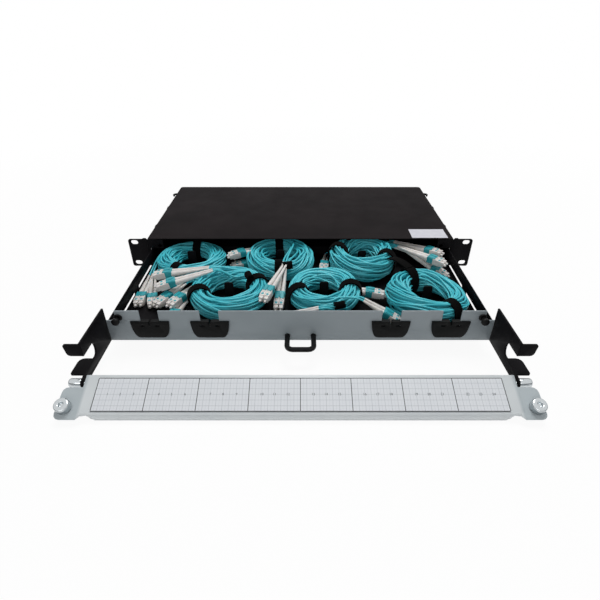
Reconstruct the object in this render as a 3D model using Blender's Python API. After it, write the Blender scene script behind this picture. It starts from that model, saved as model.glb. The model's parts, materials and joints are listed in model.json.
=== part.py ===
# Rack-mount fibre panel: a 1U steel enclosure with a sliding tray, a flip-down label door,
# and six coils of fibre leads with their duplex plugs.
# Frame: X to the right, Y into the rack, Z up, in metres. The origin is the middle of the
# rack plane, which is the rear face of the two rack ears.
# The tray is drawn pulled out and the door is drawn open, as the panel stands for patching.

from math import acos, atan2, cos, pi, radians, sin, tan

import bmesh
import bpy
from mathutils import Matrix, Vector

# Clearances, and how far a cutter reaches past what it cuts
SEAT_GAP = 0.0003
SLIDE_GAP = 0.0005
CUT_PAST = 0.0030
# How far a welded piece stays inside the faces of the sheet that it joins
WELD_INSET = 0.0001

# Rack standard: one unit high. The ears' reach makes the panel 482.6 mm wide,
# with its slots 465.2 mm apart across and 31.75 mm apart in height.
UNIT_HEIGHT = 0.0437
EAR_REACH = 0.0276
EAR_SLOT_INSET = 0.0087
EAR_SLOT_DROP = 0.005975
SLOT_LENGTH = 0.0100
SLOT_HEIGHT = 0.0066

# Enclosure
CHASSIS_WIDTH = 0.4268
CHASSIS_DEPTH = 0.2120
CHASSIS_SHEET = 0.0012
CHASSIS_WELD_IN = 0.00024
TOP_FLANGE_WIDTH = 0.0110
FRONT_RETURN_WIDTH = 0.0205
COVER_SHEET = 0.0012
COVER_CORNER = 0.0040
CABLE_HOLE_X = 0.150
CABLE_HOLE_Z = -0.001
CABLE_HOLE_RADIUS = 0.0130
BUSHING_WALL = 0.0022
BUSHING_FLANGE = 0.0035
BUSHING_LIP = 0.0020

# Rack ears
EAR_SHEET = 0.0020
EAR_LEG_LENGTH = 0.1400
EAR_LEG_DROP = 0.0035
EAR_CORNER = 0.0030
EAR_BEND_START = 0.0015
EAR_BEND_END = 0.0065
EAR_BEND_DROP = 0.0030
EAR_FOOT_STEP = 0.0010
EAR_LEG_CORNER = 0.0040
EAR_LEG_WELD_IN = 0.0006
EAR_BUMP = 0.0012
EAR_SCREW_REAR_INSET = 0.0120
EAR_SCREW_SPACING = 0.0730
EAR_SCREW_DROP = 0.00935
SCREW_HEAD_RADIUS = 0.0052
SCREW_HEAD_HEIGHT = 0.0042
SCREW_SHANK_RADIUS = 0.0020
SCREW_SHANK_LENGTH = 0.0060

# Cable rings on the sides of the enclosure
RING_INSET = 0.0170
RING_DROP = 0.00885
RING_RADIUS = 0.0046
RING_SECTION = 0.0026
RING_OPENING = 70.0
RING_PAD_LENGTH = 0.0120
RING_PAD_THICKNESS = 0.0016
RING_PAD_HEIGHT = 0.0080

# Slide channels
CHANNEL_SHEET = 0.0012
CHANNEL_FLANGE_WIDTH = 0.0085
CHANNEL_DEPTH = 0.0150
CHANNEL_REAR_MARGIN = 0.0060

# Tray
TRAY_TRAVEL = 0.1700
TRAY_SHUT_GAP = 0.0005
TRAY_REAR_GAP = 0.00446
TRAY_SHEET = 0.0012
TRAY_WELD_IN = 0.00024
TRAY_FLANGE_DROP = 0.0010
TRAY_WALL_DROP = 0.01595
TRAY_FLOOR_GAP = 0.00035
TRAY_CORNER_FLANGE = 0.0180
TRAY_REAR_WALL_HEIGHT = 0.0121
WALL_SLOT_RISE = 0.0053
WALL_SLOT_HEIGHT = 0.0046
WALL_SLOT_STARTS = (0.0130, 0.0955)
WALL_SLOT_LENGTH = 0.0680

# Front panel
PANEL_SHEET = 0.0015
PANEL_TOP_DROP = 0.00345
PANEL_BOTTOM_RISE = 0.00065
PANEL_STEP_WIDTH = 0.0110
NOTCH_INSET = 0.0367
NOTCH_SPACING = 0.0655
NOTCH_WIDTH = 0.0208
NOTCH_DEPTH = 0.0128
GROMMET_SEAT_DEPTH = 0.0130
GROMMET_WIDTH = 0.0420
GROMMET_HEIGHT = 0.0215
GROMMET_SKIN = 0.0018
GROMMET_SLIT = 0.0024
GROMMET_SLIT_DEPTH = 0.0060
GROMMET_EYE_X = 0.0082
GROMMET_EYE_DROP = 0.0055
GROMMET_EYE_LENGTH = 0.0056
GROMMET_EYE_HEIGHT = 0.0022

# Pull handle
HANDLE_LEG_SPACING = 0.0290
HANDLE_ROD_RADIUS = 0.0029
HANDLE_REACH = 0.0242
HANDLE_RISE = 0.0064
HANDLE_BEND = 0.0062
HANDLE_BACK_REACH = 0.0010

# Latch plungers
LATCH_INSET = 0.0157
LATCH_DROP = 0.0080
LATCH_TRAVEL = 0.0050
LATCH_BARREL_RADIUS = 0.0025
LATCH_BARREL_LENGTH = 0.0060
LATCH_FLANGE_RADIUS = 0.0044
LATCH_FLANGE_THICKNESS = 0.0014
PLUNGER_NECK_RADIUS = 0.0016
PLUNGER_HEAD_RADIUS = 0.0045
PLUNGER_HEAD_LENGTH = 0.0040
PLUNGER_POINT = 0.0008

# Side brackets, which carry the door
BRACKET_SHEET = 0.0020
BRACKET_OFFSET = 0.0023
BRACKET_CORNER = 0.0020
BRACKET_TOP_DROP = 0.00095
BRACKET_ARM_HEIGHT = 0.0156
BRACKET_ARM_LENGTH = 0.0600
BRACKET_TAB_REACH = 0.0155
BRACKET_TAB_EDGE = 0.0008
BRACKET_MOUTH_START = 0.0355
BRACKET_SHELF_RISE = 0.0063
BRACKET_SHELF_REACH = 0.0130
BRACKET_SHELF_LENGTH = 0.0240
BRACKET_SHELF_TO_HINGE = 0.0052
BRACKET_LUG_RADIUS = 0.0052
HINGE_FORWARD = 0.0732
HINGE_RISE = 0.00435

# Door hinge pins
PIN_RADIUS = 0.0015
PIN_COVER = 0.0002
PIN_HEAD_RADIUS = 0.0047
PIN_HEAD_LENGTH = 0.0125
PIN_REACH = 0.0085

# Door
DOOR_OPEN_ANGLE = 110.4
DOOR_SHEET = 0.0015
DOOR_END_GAP = 0.0017
DOOR_EDGE_DROP = 0.0067
DOOR_HEIGHT = 0.0420
DOOR_LIP = 0.0085
DOOR_BEND = 0.0040
DOOR_EAR_START = 0.0130
DOOR_EAR_END = 0.0455
DOOR_EAR_REACH = 0.0202
DOOR_EAR_CORNER = 0.0055
DOOR_EAR_SLANT = 0.0015
DOOR_EAR_ROOT = 0.0040
DOOR_SCALLOP_INSET = 0.0098
DOOR_SCALLOP_RADIUS = 0.0120
DOOR_SCALLOP_DEPTH = 0.0045
KNUCKLE_RADIUS = 0.0046
KNUCKLE_SHEET = 0.0015
KNUCKLE_START = 0.0010
MAGNET_U = 0.0340
MAGNET_OUT = 0.0120
MAGNET_RADIUS = 0.0072
MAGNET_HEIGHT = 0.0078
MAGNET_EDGE = 0.0010
MAGNET_RECESS_RADIUS = 0.0026
MAGNET_RECESS_DEPTH = 0.0030
CARD_END_EDGE = 0.0133
CARD_HEIGHT = 0.0345
CARD_THICKNESS = 0.0005
CARD_EDGE = 0.0035
CARD_CORNER = 0.0010

# Lead coils on the tray: name, centre x, centre's distance behind the panel, outer diameter,
# height
COILS = (
    ("rear_left", -0.1503, 0.1542, 0.0954, 0.0250),
    ("rear_centre", -0.0276, 0.1572, 0.0952, 0.0290),
    ("rear_right", 0.0851, 0.1550, 0.0920, 0.0340),
    ("front_left", -0.0876, 0.0710, 0.0980, 0.0286),
    ("front_centre", 0.0291, 0.0720, 0.0902, 0.0290),
    ("front_right", 0.1538, 0.0620, 0.0996, 0.0330),
)
# The coil that is pressed flatter on one side, to pass the front return: direction, height there
FLAT_SIDES = {"front_right": (0.0, 0.0225)}
COIL_SECTION_WIDTH = 0.0250
COIL_LIFT = 0.0026
POST_WIDTH = 0.0110
POST_HEIGHT = 0.0300
POST_SHEET = 0.0016
POST_FOOT = 0.0100
POST_CORNER = 0.0030

# Hook-and-loop straps: coil name, direction from the coil's centre in degrees
STRAPS = (
    ("rear_left", 86.0),
    ("rear_centre", -90.0),
    ("rear_right", -22.0),
    ("front_left", -162.0),
    ("front_centre", -2.0),
    ("front_right", 115.0),
)
STRAP_WIDTH = 0.0110
STRAP_THICKNESS = 0.0014

# Duplex plugs: name, mouth x, mouth's distance behind the panel, its height over the tray floor,
# heading and dip in degrees
PLUG_BODY_WIDTH = 0.0128
PLUG_BODY_HEIGHT = 0.0094
PLUG_BODY_LENGTH = 0.0110
PLUG_NOSE_LENGTH = 0.0070
PLUG_NOSE_GAP = 0.0014
PLUG_CLIP_LENGTH = 0.0090
PLUG_BOOT_LENGTH = 0.0470
PLUG_BOOT_END = 0.0036
PLUG_CLIP_STEP = 0.0006
PLUGS = (
    ("lead_plug_1", -0.1890, 0.0950, 0.0181, 184.0, 7.8),
    ("lead_plug_2", -0.1785, 0.0720, 0.0177, 197.0, 11.5),
    ("lead_plug_3", -0.1995, 0.0577, 0.0004, 273.4, 0.0),
    ("lead_plug_4", -0.1805, 0.0555, 0.0004, 284.4, 0.0),
    ("lead_plug_5", 0.2000, 0.1280, -0.0003, 322.0, 17.0),
    ("lead_plug_6", 0.2035, 0.1577, 0.0071, 343.0, 10.0),
    ("lead_plug_7", 0.1171, 0.0220, 0.0003, 338.0, 24.5),
    ("lead_plug_8", -0.0270, 0.0500, -0.0003, 264.0, 25.0),
    ("lead_plug_9", -0.1550, 0.0200, 0.0004, 257.0, 0.0),
)

# Fineness of round shapes
ROUND = 20
ROUND_SMALL = 12
COIL_TURN = 28
COIL_RING = 10


def clear_scene():
    for thing in list(bpy.data.objects):
        bpy.data.objects.remove(thing, do_unlink=True)


def make_material(name, colour, roughness, metallic):
    """A plain finish: colour as red, green and blue from 0 to 1."""
    finish = bpy.data.materials.new(name)
    finish.use_nodes = True
    shader = finish.node_tree.nodes["Principled BSDF"]
    shader.inputs["Base Color"].default_value = (*colour, 1.0)
    shader.inputs["Roughness"].default_value = roughness
    shader.inputs["Metallic"].default_value = metallic
    finish.diffuse_color = (*colour, 1.0)
    return finish


def link_mesh(name, shape, finish, parent=None, smooth=True):
    """Turn a bmesh into a named object, with its faces pointing out."""
    bmesh.ops.recalc_face_normals(shape, faces=shape.faces)
    mesh = bpy.data.meshes.new(name)
    shape.to_mesh(mesh)
    shape.free()
    if finish is not None:
        mesh.materials.append(finish)
    if smooth:
        mesh.shade_smooth()
        mesh.set_sharp_from_angle(angle=radians(30))
    thing = bpy.data.objects.new(name, mesh)
    bpy.context.scene.collection.objects.link(thing)
    if parent is not None:
        thing.parent = parent
    return thing


def combine(target, other, operation):
    """Join another shape to an object, or cut it away."""
    helper = link_mesh(f"{target.name}_{operation.lower()}_shape", other, None, target.parent)
    helper.hide_render = True
    helper.display_type = "WIRE"
    step = target.modifiers.new(operation.title(), "BOOLEAN")
    step.operation = operation
    step.solver = "EXACT"
    step.object = helper
    return target


def add_box(shape, low, high):
    """A box between two corners."""
    low, high = Vector(low), Vector(high)
    place = Matrix.Translation((low + high) / 2) @ Matrix.Diagonal((*(high - low), 1.0))
    bmesh.ops.create_cube(shape, size=1.0, matrix=place)


def add_rod(shape, start, end, radius, segments=ROUND_SMALL):
    """A round bar between two points."""
    start, end = Vector(start), Vector(end)
    along = end - start
    turn = along.to_track_quat("Z", "Y").to_matrix().to_4x4()
    place = Matrix.Translation((start + end) / 2) @ turn
    bmesh.ops.create_cone(
        shape, cap_ends=True, segments=segments, radius1=radius, radius2=radius,
        depth=along.length, matrix=place,
    )


def add_plate(shape, outline, place, thickness):
    """A flat plate: an outline in two coordinates, put in space by a function, made thick."""
    face = shape.faces.new([shape.verts.new(place(u, v)) for u, v in outline])
    grown = bmesh.ops.extrude_face_region(shape, geom=[face])
    moved = [part for part in grown["geom"] if isinstance(part, bmesh.types.BMVert)]
    bmesh.ops.translate(shape, verts=moved, vec=thickness)


def add_turned(shape, profile, centre, axis, segments=ROUND):
    """A turned piece: a closed profile of (distance along the axis, radius) points."""
    axis = Vector(axis).normalized()
    side = axis.orthogonal().normalized()
    centre = Vector(centre)
    points = [shape.verts.new(centre + axis * along + side * radius) for along, radius in profile]
    count = len(points)
    edges = [shape.edges.new((points[i], points[(i + 1) % count])) for i in range(count)]
    bmesh.ops.spin(
        shape, geom=points + edges, cent=centre, axis=axis, angle=2 * pi, steps=segments,
        use_merge=True,
    )
    bmesh.ops.remove_doubles(shape, verts=shape.verts, dist=0.000005)


def add_domed(shape, profile, centre, axis, segments=ROUND):
    """A turned solid with no hole: the profile starts and ends on the axis."""
    axis = Vector(axis).normalized()
    side = axis.orthogonal().normalized()
    centre = Vector(centre)
    points = [shape.verts.new(centre + axis * along + side * radius) for along, radius in profile]
    edges = [shape.edges.new((a, b)) for a, b in zip(points, points[1:])]
    bmesh.ops.spin(
        shape, geom=points + edges, cent=centre, axis=axis, angle=2 * pi, steps=segments,
        use_merge=True,
    )
    bmesh.ops.remove_doubles(shape, verts=shape.verts, dist=0.000005)


def rounded(outline, radii, steps=3):
    """A closed outline with its corners rounded: one radius for each corner, 0 for a sharp one."""
    points = [Vector(p) for p in outline]
    if not isinstance(radii, (list, tuple)):
        radii = [radii] * len(points)
    result = []
    for i, corner in enumerate(points):
        radius = radii[i]
        to_last = (points[i - 1] - corner).normalized()
        to_next = (points[(i + 1) % len(points)] - corner).normalized()
        if radius <= 0:
            result.append(tuple(corner))
            continue
        half = acos(max(-1.0, min(1.0, to_last.dot(to_next)))) / 2
        centre = corner + (to_last + to_next).normalized() * (radius / sin(half))
        first = corner + to_last * (radius / tan(half)) - centre
        last = corner + to_next * (radius / tan(half)) - centre
        begin = atan2(first.y, first.x)
        sweep = (atan2(last.y, last.x) - begin + pi) % (2 * pi) - pi
        for k in range(steps + 1):
            angle = begin + sweep * k / steps
            result.append((centre.x + radius * cos(angle), centre.y + radius * sin(angle)))
    return result


def sheet_section(path, thickness, bend, steps=2):
    """The outline of a bent sheet, from the path of its middle and the radius of its bends."""
    points = [Vector(p) for p in path]
    left, right = [], []

    def add_pair(point, heading):
        normal = Vector((-heading.y, heading.x))
        left.append(tuple(point + normal * thickness / 2))
        right.append(tuple(point - normal * thickness / 2))

    add_pair(points[0], (points[1] - points[0]).normalized())
    for before, corner, after in zip(points, points[1:], points[2:]):
        into = (corner - before).normalized()
        out = (after - corner).normalized()
        turn = atan2(into.cross(out), into.dot(out))
        start = corner - into * bend * tan(abs(turn) / 2)
        inward = Vector((-into.y, into.x)) * (1 if turn > 0 else -1)
        centre = start + inward * bend
        for k in range(steps + 1):
            spun = Matrix.Rotation(turn * k / steps, 2)
            add_pair(centre + spun @ (start - centre), spun @ into)
    add_pair(points[-1], (points[-1] - points[-2]).normalized())
    return left + right[::-1]


def slot_outline(centre_u, centre_v, length, height, steps=6):
    """A slot with round ends, along the first coordinate."""
    half, radius = (length - height) / 2, height / 2
    points = []
    for end, begin in ((1, -pi / 2), (-1, pi / 2)):
        for k in range(steps + 1):
            angle = begin + pi * k / steps
            points.append((centre_u + end * half + radius * cos(angle), centre_v + radius * sin(angle)))
    return points


# Planes that plates lie in
def in_front_plane(y):
    return lambda u, v: (u, y, v)


def in_side_plane(x):
    return lambda u, v: (x, u, v)


def in_level_plane(z):
    return lambda u, v: (u, v, z)


# Sizes worked out from the driving ones
HALF_UNIT = UNIT_HEIGHT / 2
CHASSIS_FRONT_Y = -EAR_SHEET
CHASSIS_REAR_Y = CHASSIS_FRONT_Y + CHASSIS_DEPTH
CHASSIS_SIDE_X = CHASSIS_WIDTH / 2
CHASSIS_INNER_X = CHASSIS_SIDE_X - CHASSIS_SHEET
CHASSIS_FLOOR_TOP = -HALF_UNIT + CHASSIS_SHEET
CHASSIS_RIM = HALF_UNIT - COVER_SHEET - SEAT_GAP
REAR_WALL_Y = CHASSIS_REAR_Y - CHASSIS_WELD_IN - CHASSIS_SHEET
EAR_INNER_X = CHASSIS_SIDE_X + SEAT_GAP
EAR_TIP_X = EAR_INNER_X + EAR_REACH
EAR_SCREW_REAR_Y = EAR_LEG_LENGTH - EAR_SCREW_REAR_INSET
EAR_SCREW_Y = (EAR_SCREW_REAR_Y - EAR_SCREW_SPACING, EAR_SCREW_REAR_Y)
EAR_SCREW_Z = HALF_UNIT - EAR_SCREW_DROP
RING_Y = CHASSIS_REAR_Y - RING_INSET
RING_Z = HALF_UNIT - RING_DROP
CHANNEL_OUTER_X = CHASSIS_INNER_X - SEAT_GAP
TRAY_SIDE_X = CHANNEL_OUTER_X - CHANNEL_SHEET - SLIDE_GAP
TRAY_WALL_TOP = HALF_UNIT - TRAY_WALL_DROP
CHANNEL_FLANGE_BOTTOM = TRAY_WALL_TOP + SLIDE_GAP
FRONT_RETURN_BOTTOM = CHANNEL_FLANGE_BOTTOM + SLIDE_GAP
TRAY_FLOOR_BOTTOM = CHASSIS_FLOOR_TOP + TRAY_FLOOR_GAP
TRAY_FLOOR_TOP = TRAY_FLOOR_BOTTOM + TRAY_SHEET
TRAY_FRONT_Y = CHASSIS_FRONT_Y - TRAY_SHUT_GAP - PANEL_SHEET - TRAY_TRAVEL
PANEL_BACK_Y = TRAY_FRONT_Y + PANEL_SHEET
PAN_FRONT_Y = PANEL_BACK_Y + SEAT_GAP
PAN_REAR_Y = REAR_WALL_Y - SEAT_GAP - BUSHING_LIP - TRAY_REAR_GAP - TRAY_TRAVEL
TRAY_LENGTH = PAN_REAR_Y - PAN_FRONT_Y
BRACKET_INNER_X = TRAY_SIDE_X + BRACKET_OFFSET
BRACKET_OUTER_X = BRACKET_INNER_X + BRACKET_SHEET
PANEL_HALF_WIDTH = BRACKET_INNER_X - SEAT_GAP
PANEL_TOP = HALF_UNIT - PANEL_TOP_DROP
PANEL_BOTTOM = -HALF_UNIT + PANEL_BOTTOM_RISE
PANEL_STEP_X = PANEL_HALF_WIDTH - PANEL_STEP_WIDTH
NOTCH_OUTER_X = PANEL_STEP_X - NOTCH_INSET
NOTCH_INNER_X = NOTCH_OUTER_X - NOTCH_SPACING
NOTCH_CENTRES = (-NOTCH_OUTER_X, -NOTCH_INNER_X, NOTCH_INNER_X, NOTCH_OUTER_X)
NOTCH_LEVEL = PANEL_TOP - NOTCH_DEPTH
HANDLE_Z = PANEL_BOTTOM + HANDLE_RISE
LATCH_X = CHASSIS_SIDE_X - LATCH_INSET
LATCH_Z = PANEL_TOP - LATCH_DROP
LATCH_HOLE_RADIUS = LATCH_BARREL_RADIUS + SEAT_GAP
HINGE_Y = PANEL_BACK_Y - HINGE_FORWARD
HINGE_Z = -HALF_UNIT + HINGE_RISE
BRACKET_TOP = HALF_UNIT - BRACKET_TOP_DROP
BRACKET_BOTTOM = -HALF_UNIT
BRACKET_ARM_TIP_Y = PANEL_BACK_Y - BRACKET_ARM_LENGTH
BRACKET_MOUTH_REAR_Y = PANEL_BACK_Y - BRACKET_MOUTH_START
BRACKET_SHELF_Z = HINGE_Z + BRACKET_SHELF_RISE
BRACKET_SHELF_FRONT_Y = HINGE_Y + BRACKET_SHELF_TO_HINGE
BRACKET_SHELF_REAR_Y = BRACKET_SHELF_FRONT_Y + BRACKET_SHELF_LENGTH
PIN_HOLE_RADIUS = PIN_RADIUS + SEAT_GAP
DOOR_INNER_OFFSET = PIN_HOLE_RADIUS + PIN_COVER + DOOR_SHEET
DOOR_HALF_WIDTH = BRACKET_INNER_X - DOOR_END_GAP
DOOR_SCALLOP_X = DOOR_HALF_WIDTH - DOOR_SCALLOP_INSET
MAGNET_X = DOOR_HALF_WIDTH + MAGNET_OUT
CARD_HALF_WIDTH = DOOR_HALF_WIDTH - CARD_END_EDGE
PIN_BORE_DEPTH = PIN_REACH - (BRACKET_OUTER_X + SEAT_GAP - DOOR_HALF_WIDTH) + SEAT_GAP
COIL_BOTTOM = TRAY_FLOOR_TOP + COIL_LIFT


def make_chassis(finish):
    """Floor, sides and top flanges bent from one sheet, with a rear wall and front returns."""
    rim = CHASSIS_RIM - CHASSIS_SHEET / 2
    base = -HALF_UNIT + CHASSIS_SHEET / 2
    side = CHASSIS_SIDE_X - CHASSIS_SHEET / 2
    edge = CHASSIS_SIDE_X - TOP_FLANGE_WIDTH
    path = [(-edge, rim), (-side, rim), (-side, base), (side, base), (side, rim), (edge, rim)]
    shape = bmesh.new()
    add_plate(
        shape, sheet_section(path, CHASSIS_SHEET, CHASSIS_SHEET), in_front_plane(CHASSIS_FRONT_Y),
        (0, CHASSIS_DEPTH, 0),
    )
    chassis = link_mesh("base_chassis", shape, finish)
    walls = bmesh.new()
    add_box(
        walls, (-side, REAR_WALL_Y, base), (side, REAR_WALL_Y + CHASSIS_SHEET, rim)
    )
    for hand in (-1, 1):
        outer, inner = hand * side, hand * (CHASSIS_SIDE_X - FRONT_RETURN_WIDTH)
        front = CHASSIS_FRONT_Y + CHASSIS_WELD_IN
        add_box(
            walls, (min(outer, inner), front, FRONT_RETURN_BOTTOM),
            (max(outer, inner), front + CHASSIS_SHEET, rim),
        )
    combine(chassis, walls, "UNION")
    holes = bmesh.new()
    for hand in (-1, 1):
        add_rod(
            holes, (hand * CABLE_HOLE_X, REAR_WALL_Y - CUT_PAST, CABLE_HOLE_Z),
            (hand * CABLE_HOLE_X, CHASSIS_REAR_Y + CUT_PAST, CABLE_HOLE_Z), CABLE_HOLE_RADIUS, ROUND,
        )
        add_rod(
            holes, (hand * LATCH_X, CHASSIS_FRONT_Y - CUT_PAST, LATCH_Z),
            (hand * LATCH_X, CHASSIS_FRONT_Y + CUT_PAST, LATCH_Z), LATCH_HOLE_RADIUS,
        )
        for screw_y in EAR_SCREW_Y:
            add_rod(
                holes, (hand * (CHASSIS_INNER_X - CUT_PAST), screw_y, EAR_SCREW_Z),
                (hand * (CHASSIS_SIDE_X + CUT_PAST), screw_y, EAR_SCREW_Z),
                SCREW_SHANK_RADIUS + SEAT_GAP,
            )
    return combine(chassis, holes, "DIFFERENCE")


def make_cover(finish):
    """The flat top cover, which rests on the chassis flanges."""
    outline = rounded(
        [
            (-CHASSIS_SIDE_X, CHASSIS_FRONT_Y), (CHASSIS_SIDE_X, CHASSIS_FRONT_Y),
            (CHASSIS_SIDE_X, CHASSIS_REAR_Y), (-CHASSIS_SIDE_X, CHASSIS_REAR_Y),
        ],
        [0, 0, COVER_CORNER, COVER_CORNER],
    )
    shape = bmesh.new()
    add_plate(shape, outline, in_level_plane(HALF_UNIT - COVER_SHEET), (0, 0, COVER_SHEET))
    return link_mesh("top_cover", shape, finish)


def make_ear(name, hand, finish):
    """An angle bracket: a slotted ear for the rack post and a leg along the enclosure's side."""
    inner, tip = EAR_INNER_X, EAR_TIP_X
    bend_in, bend_out = inner + EAR_BEND_START, inner + EAR_BEND_END
    outline = [
        (inner, -HALF_UNIT + EAR_FOOT_STEP), (tip, -HALF_UNIT), (tip, HALF_UNIT - EAR_BUMP),
        (bend_out + EAR_BUMP, HALF_UNIT - EAR_BUMP), (bend_out, HALF_UNIT),
        (bend_in + EAR_BUMP, HALF_UNIT), (inner, HALF_UNIT - EAR_BEND_DROP),
    ]
    radii = [0, EAR_CORNER, EAR_CORNER, 0, 0, 0, 0]
    flange = [(hand * u, v) for u, v in rounded(outline, radii)]
    shape = bmesh.new()
    add_plate(shape, flange, in_front_plane(-EAR_SHEET), (0, EAR_SHEET, 0))
    ear = link_mesh(name, shape, finish)
    leg = bmesh.new()
    top, bottom = HALF_UNIT - EAR_LEG_DROP, -HALF_UNIT + EAR_LEG_DROP
    root = -EAR_SHEET + EAR_LEG_WELD_IN
    side_view = rounded(
        [
            (root, bottom), (EAR_LEG_LENGTH, bottom), (EAR_LEG_LENGTH, top), (root, top),
        ],
        [0, EAR_LEG_CORNER, EAR_LEG_CORNER, 0],
    )
    add_plate(leg, side_view, in_side_plane(hand * inner), (hand * EAR_SHEET, 0, 0))
    combine(ear, leg, "UNION")
    holes = bmesh.new()
    for up in (-1, 1):
        slot = slot_outline(
            hand * (tip - EAR_SLOT_INSET), up * (HALF_UNIT - EAR_SLOT_DROP), SLOT_LENGTH, SLOT_HEIGHT
        )
        add_plate(holes, slot, in_front_plane(-EAR_SHEET - CUT_PAST), (0, EAR_SHEET + 2 * CUT_PAST, 0))
    for screw_y in EAR_SCREW_Y:
        add_rod(
            holes, (hand * (inner - CUT_PAST), screw_y, EAR_SCREW_Z),
            (hand * (inner + EAR_SHEET + CUT_PAST), screw_y, EAR_SCREW_Z), SCREW_SHANK_RADIUS + SEAT_GAP,
        )
    return combine(ear, holes, "DIFFERENCE")


def make_ear_screw(name, hand, screw_y, finish):
    """A domed screw that holds the ear's leg to the enclosure."""
    seat = EAR_INNER_X + EAR_SHEET + SEAT_GAP
    dome = [
        (SCREW_HEAD_HEIGHT * sin(k * pi / 8), SCREW_HEAD_RADIUS * cos(k * pi / 8)) for k in range(5)
    ]
    profile = [(-SCREW_SHANK_LENGTH, 0.0), (-SCREW_SHANK_LENGTH, SCREW_SHANK_RADIUS)]
    profile += [(0.0, SCREW_SHANK_RADIUS)] + dome
    shape = bmesh.new()
    add_domed(shape, profile, (hand * seat, screw_y, EAR_SCREW_Z), (hand, 0, 0), ROUND_SMALL)
    return link_mesh(name, shape, finish)


def make_cable_ring(name, hand, finish):
    """An open ring for cables, on a pad on the enclosure's side."""
    wall = CHASSIS_SIDE_X + SEAT_GAP
    shape = bmesh.new()
    add_box(
        shape,
        (min(hand * wall, hand * (wall + RING_PAD_THICKNESS)), RING_Y - RING_PAD_LENGTH / 2,
         RING_Z - RING_PAD_HEIGHT / 2),
        (max(hand * wall, hand * (wall + RING_PAD_THICKNESS)), RING_Y + RING_PAD_LENGTH / 2,
         RING_Z + RING_PAD_HEIGHT / 2),
    )
    ring = link_mesh(name, shape, finish)
    centre = Vector((hand * (wall + RING_RADIUS + RING_SECTION / 2), RING_Y, RING_Z))
    loop = bmesh.new()
    half = RING_SECTION / 2
    start = radians(-90 + RING_OPENING / 2) if hand > 0 else radians(-90 - RING_OPENING / 2)
    sweep = hand * (2 * pi - radians(RING_OPENING))
    outward = Vector((cos(start), sin(start), 0))
    corners = [(-half, -half), (half, -half), (half, half), (-half, half)]
    points = [
        loop.verts.new(centre + outward * (RING_RADIUS + across) + Vector((0, 0, up)))
        for across, up in corners
    ]
    face = loop.faces.new(points)
    bmesh.ops.spin(loop, geom=[face], cent=centre, axis=(0, 0, 1), angle=sweep, steps=ROUND_SMALL)
    combine(ring, loop, "UNION")
    return ring


def make_bushing(name, hand, finish):
    """A flanged bushing in the rear wall, for the trunk cables."""
    outer = CABLE_HOLE_RADIUS - SEAT_GAP
    bore = outer - BUSHING_WALL
    flange = outer + BUSHING_FLANGE
    back = REAR_WALL_Y + CHASSIS_SHEET + SEAT_GAP
    front = REAR_WALL_Y - SEAT_GAP
    lip = outer + 0.5 * BUSHING_FLANGE
    profile = [
        (front - BUSHING_LIP, bore), (front - BUSHING_LIP, outer), (front, lip), (front, outer),
        (back, outer), (back, flange), (back + 0.6 * BUSHING_LIP, flange),
        (back + BUSHING_LIP, outer), (back + BUSHING_LIP, bore),
    ]
    shape = bmesh.new()
    add_turned(shape, profile, (hand * CABLE_HOLE_X, 0, CABLE_HOLE_Z), (0, 1, 0))
    return link_mesh(name, shape, finish)


def make_channel(name, hand, finish):
    """An angle that keeps the tray down and straight as it slides."""
    middle = CHANNEL_OUTER_X - CHANNEL_SHEET / 2
    top = CHANNEL_FLANGE_BOTTOM + CHANNEL_SHEET / 2
    path = [
        (hand * middle, top - CHANNEL_DEPTH), (hand * middle, top),
        (hand * (CHANNEL_OUTER_X - CHANNEL_FLANGE_WIDTH), top),
    ]
    start = CHASSIS_FRONT_Y + CHASSIS_WELD_IN + CHASSIS_SHEET + SEAT_GAP
    shape = bmesh.new()
    add_plate(
        shape, sheet_section(path, CHANNEL_SHEET, CHANNEL_SHEET), in_front_plane(start),
        (0, REAR_WALL_Y - CHANNEL_REAR_MARGIN - start, 0),
    )
    return link_mesh(name, shape, finish)


def make_tray_pan(finish):
    """The tray's floor and side walls, with corner flanges, a rear wall and long side slots."""
    side = TRAY_SIDE_X - TRAY_SHEET / 2
    base = TRAY_FLOOR_BOTTOM + TRAY_SHEET / 2
    path = [(-side, TRAY_WALL_TOP), (-side, base), (side, base), (side, TRAY_WALL_TOP)]
    shape = bmesh.new()
    add_plate(
        shape, sheet_section(path, TRAY_SHEET, TRAY_SHEET), in_front_plane(PAN_FRONT_Y),
        (0, TRAY_LENGTH, 0),
    )
    pan = link_mesh("tray_pan", shape, finish)
    walls = bmesh.new()
    rear = PAN_REAR_Y - TRAY_WELD_IN - TRAY_SHEET
    rim = TRAY_FLOOR_TOP + TRAY_REAR_WALL_HEIGHT
    add_box(walls, (-side, rear, base), (side, rear + TRAY_SHEET, rim))
    front = PAN_FRONT_Y + TRAY_WELD_IN
    for hand in (-1, 1):
        outer, inner = hand * side, hand * (side - TRAY_CORNER_FLANGE)
        add_box(
            walls, (min(outer, inner), front, base),
            (max(outer, inner), front + TRAY_SHEET, TRAY_WALL_TOP - TRAY_FLANGE_DROP),
        )
    combine(pan, walls, "UNION")
    slots = bmesh.new()
    middle = TRAY_FLOOR_TOP + WALL_SLOT_RISE + WALL_SLOT_HEIGHT / 2
    for start in WALL_SLOT_STARTS:
        slot = slot_outline(
            PAN_FRONT_Y + start + WALL_SLOT_LENGTH / 2, middle, WALL_SLOT_LENGTH, WALL_SLOT_HEIGHT
        )
        for hand in (-1, 1):
            inner = TRAY_SIDE_X - TRAY_SHEET - CUT_PAST
            reach = TRAY_SHEET + 2 * CUT_PAST
            add_plate(slots, slot, in_side_plane(hand * inner), (hand * reach, 0, 0))
    return combine(pan, slots, "DIFFERENCE")


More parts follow.
